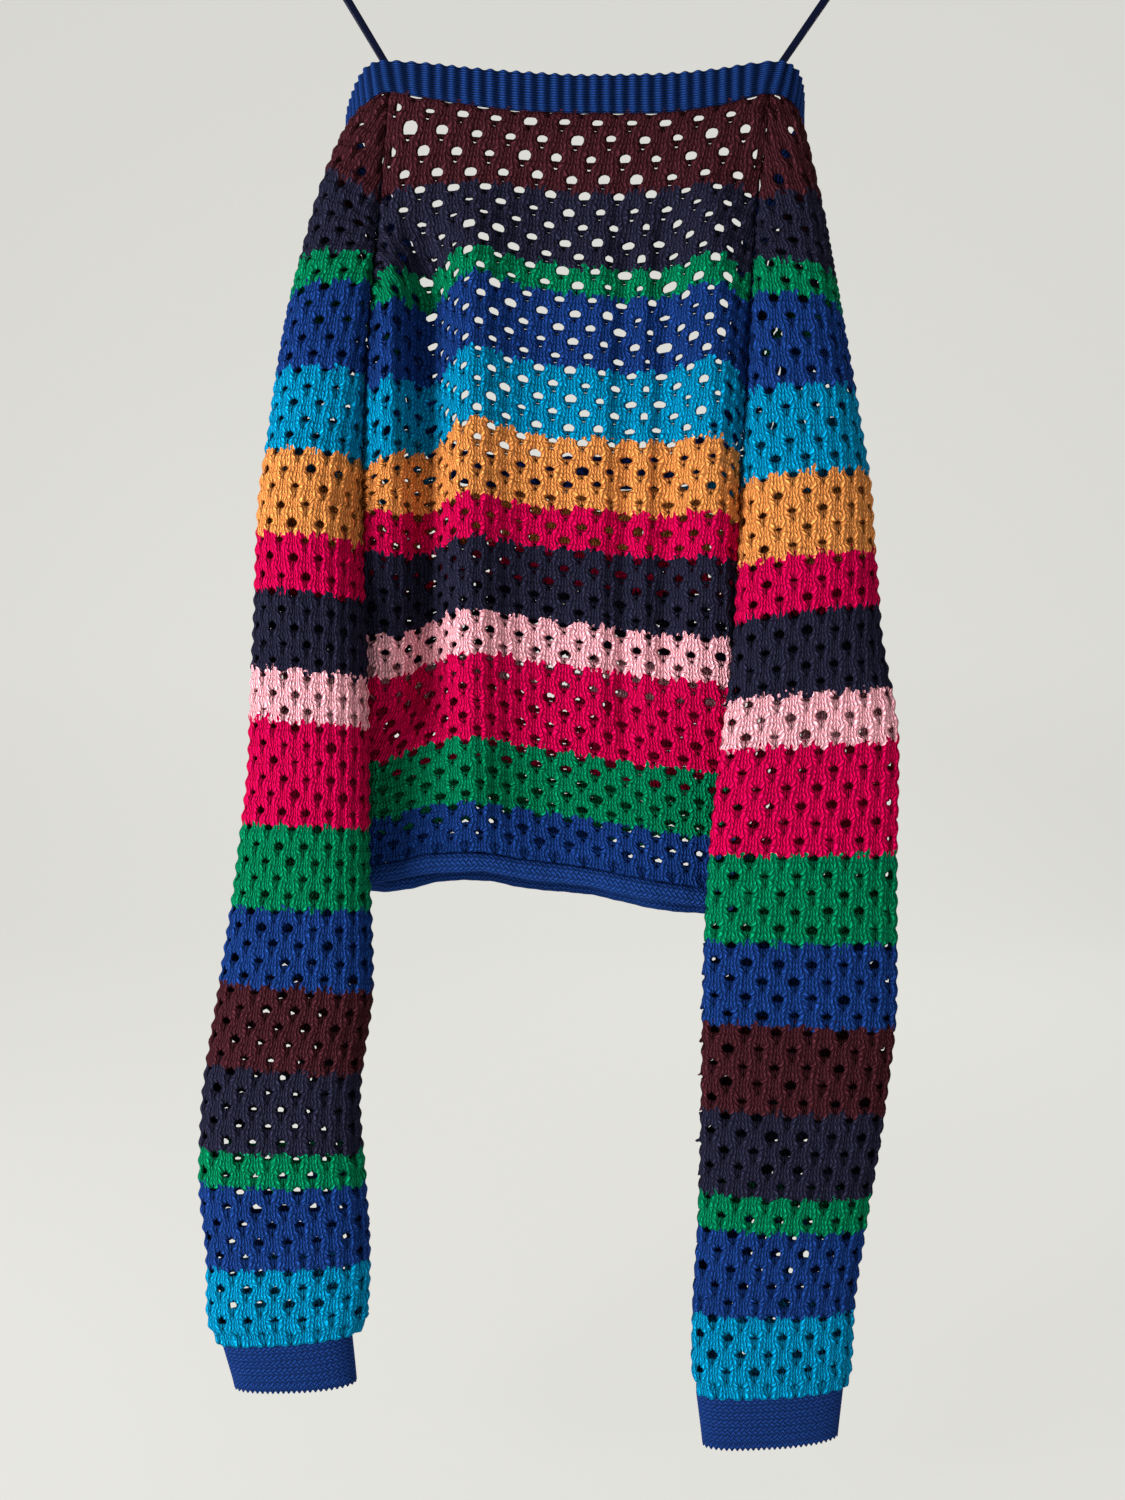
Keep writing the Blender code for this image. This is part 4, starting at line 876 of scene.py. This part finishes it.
def makeArms():
    wires = Wiring("paleWood")
    grain = wires.node("ShaderNodeMapping", {"Vector": wires.objectPlace(), "Scale": (6.0, 160.0, 160.0)})
    fleck = wires.noise(grain.outputs[0], 1.0, 4.0)
    base = wires.plain(dyes["wood"])
    wood = wires.finish(wires.shade(base, wires.math("MULTIPLY_ADD", fleck, 0.6, 0.7)), 0.42)
    wires.bump(fleck, 0.0002)

    half = hanger["halfWidth"]
    arms = bmesh.new()
    bmesh.ops.create_cone(arms, cap_ends=True, segments=hanger["sides"], radius1=1, radius2=1, depth=2)
    sideEdges = [e for e in arms.edges if abs(e.verts[0].co.z - e.verts[1].co.z) > 1]
    bmesh.ops.subdivide_edges(arms, edges=sideEdges, cuts=hanger["stations"] - 1, use_grid_fill=True)
    for vert in arms.verts:
        x = vert.co.z * half
        height = hanger["height"] - hanger["taper"] * abs(x) / half
        ends = (half - abs(x)) / hanger["endRound"]
        ends = min(1.0, hanger["endShare"] + (1 - hanger["endShare"]) * ends)
        squareY = math.copysign(abs(vert.co.y) ** hanger["squareness"], vert.co.y)
        squareZ = math.copysign(abs(vert.co.x) ** hanger["squareness"], vert.co.x)
        vert.co = (x, squareY * hanger["thickness"] / 2 * ends,
                   -(float(hangerTop(x)) + height / 2) + squareZ * height / 2 * ends)
    bmesh.ops.recalc_face_normals(arms, faces=arms.faces)
    enter(addPiece("hangerArms", arms, wood), "hanger_arms")
    print("hanger arms made")


def makeHook():
    wires = Wiring("platedWire")
    scratch = wires.noise(wires.objectPlace(), 700.0)
    wires.shader.inputs["Metallic"].default_value = 1.0
    base = wires.plain(dyes["steel"])
    steel = wires.finish(wires.shade(base, wires.math("MULTIPLY_ADD", scratch, 0.1, 0.95)), 0.26)

    radius, wire, lead = hook["radius"], hook["wire"], hook["lead"]
    angles = np.radians(hook["start"] - np.linspace(0, hook["turn"], hook["steps"] + 1))
    arc = np.stack([radius * np.cos(angles), wire - radius + radius * np.sin(angles)], axis=1)
    onward = np.array((math.sin(angles[-1]), -math.cos(angles[-1])))
    end = np.array((0.0, -hanger["topDrop"] + lead))
    t = np.linspace(0, 1, 17)[1:, None]
    bend = (1 - t) ** 3 * arc[-1] + 3 * t * (1 - t) ** 2 * (arc[-1] + onward * lead) \
        + 3 * t**2 * (1 - t) * (end + (0, lead)) + t**3 * end
    points = np.vstack([arc, bend, [(0.0, -hanger["topDrop"] - hook["sunk"])]])
    curve = bpy.data.curves.new("hookWire", "CURVE")
    curve.dimensions, curve.bevel_depth, curve.bevel_resolution, curve.use_fill_caps = "3D", wire, 6, True
    spline = curve.splines.new("POLY")
    spline.points.add(len(points) - 1)
    for place, (x, z) in zip(spline.points, points):
        place.co = (x, 0, z, 1)
    source = bpy.data.objects.new("hookWire", curve)
    bpy.context.collection.objects.link(source)
    bpy.context.view_layer.update()
    mesh = bpy.data.meshes.new_from_object(source.evaluated_get(bpy.context.evaluated_depsgraph_get()))
    bpy.data.objects.remove(source)
    mesh.materials.clear()
    mesh.materials.append(steel)
    mesh.shade_smooth()
    piece = bpy.data.objects.new("hangerHook", mesh)
    bpy.context.collection.objects.link(piece)
    enter(piece, "hanger_hook")
    print("hook made")


# The plain pale stage
stageLook = {
    "floorDrop": 1.10, "wallPlace": 2.4, "coveRadius": 0.7, "coveSteps": 16, "wallTop": 2.6,
    "halfWidth": 5.0, "near": -4.0, "paint": (128, 129, 126), "glow": (222, 221, 216), "strength": 0.78,
}


def makeStage():
    wires = Wiring("palePlaster")
    grain = wires.noise(wires.objectPlace(), 40.0)
    wires.shader.inputs["Emission Color"].default_value = linear(stageLook["glow"])
    wires.shader.inputs["Emission Strength"].default_value = stageLook["strength"]
    tone = wires.math("MULTIPLY_ADD", grain, 0.03, 0.985)
    plaster = wires.finish(wires.shade(wires.plain(stageLook["paint"]), tone), 0.9)

    cove = bmesh.new()
    radius = stageLook["coveRadius"]
    bendY, bendZ = stageLook["wallPlace"] - radius, radius - stageLook["floorDrop"]
    angles = [math.pi / 2 * step / stageLook["coveSteps"] for step in range(stageLook["coveSteps"] + 1)]
    path = [(stageLook["near"], -stageLook["floorDrop"])]
    path += [(bendY + radius * math.sin(angle), bendZ - radius * math.cos(angle)) for angle in angles]
    path.append((stageLook["wallPlace"], stageLook["wallTop"]))
    verts = [cove.verts.new((-stageLook["halfWidth"], y, z)) for y, z in path]
    edges = [cove.edges.new(pair) for pair in zip(verts, verts[1:])]
    swept = bmesh.ops.extrude_edge_only(cove, edges=edges)["geom"]
    moved = [g for g in swept if isinstance(g, bmesh.types.BMVert)]
    bmesh.ops.translate(cove, verts=moved, vec=(2 * stageLook["halfWidth"], 0, 0))
    addPiece("coveBackdrop", cove, plaster)
    print("stage made")


# Lamps: name, place, target, size, power, colour. Then the world's colour and strength.
lighting = {
    "lamps": (
        ("keyLight", (-1.45, -0.95, -0.6), (0, 0, -0.65), 0.9, 48.0, (1.0, 0.985, 0.96)),
        ("fillLight", (1.2, -1.3, -1.0), (0, 0, -0.8), 1.2, 5.0, (1, 1, 1)),
        ("rearLight", (0.6, 1.6, 0.6), (0, 0, -0.6), 1.4, 14.0, (1, 1, 1)),
    ),
    "room": (226, 226, 222), "strength": 0.36,
}


def makeLights():
    for name, place, target, size, power, colour in lighting["lamps"]:
        data = bpy.data.lights.new(name, "AREA")
        data.size, data.energy, data.color = size, power, colour
        lamp = bpy.data.objects.new(name, data)
        lamp.location = place
        aim = np.array(target) - np.array(place)
        lamp.rotation_euler = Vector(aim).to_track_quat("-Z", "Y").to_euler()
        bpy.context.collection.objects.link(lamp)
    world = bpy.data.worlds.new("paleRoom")
    world.use_nodes = True
    world.node_tree.nodes["Background"].inputs["Color"].default_value = linear(lighting["room"])
    world.node_tree.nodes["Background"].inputs["Strength"].default_value = lighting["strength"]
    bpy.context.scene.world = world
    print("lights made")


view = {"place": (-0.018, -0.628, -0.655), "lens": 26.0, "sensor": 36.0}  # matched to the photo


def makeCamera():
    data = bpy.data.cameras.new("photoCamera")
    data.lens, data.sensor_width, data.sensor_fit = view["lens"], view["sensor"], "AUTO"
    camera = bpy.data.objects.new("photoCamera", data)
    camera.location = view["place"]
    camera.rotation_euler = (math.pi / 2, 0, 0)
    bpy.context.collection.objects.link(camera)
    bpy.context.scene.camera = camera
    bpy.context.scene.view_settings.view_transform = "Standard"
    print("camera made")


makeCamera()
makeStage()
makeLights()
panels = makePanels()
sleeves = makeSleeves()
neckBand = makeNeckband()
hemPiece = makeHem()
cuffPieces = makeCuffs()
loopPieces = makeLoops()
makeArms()
makeHook()
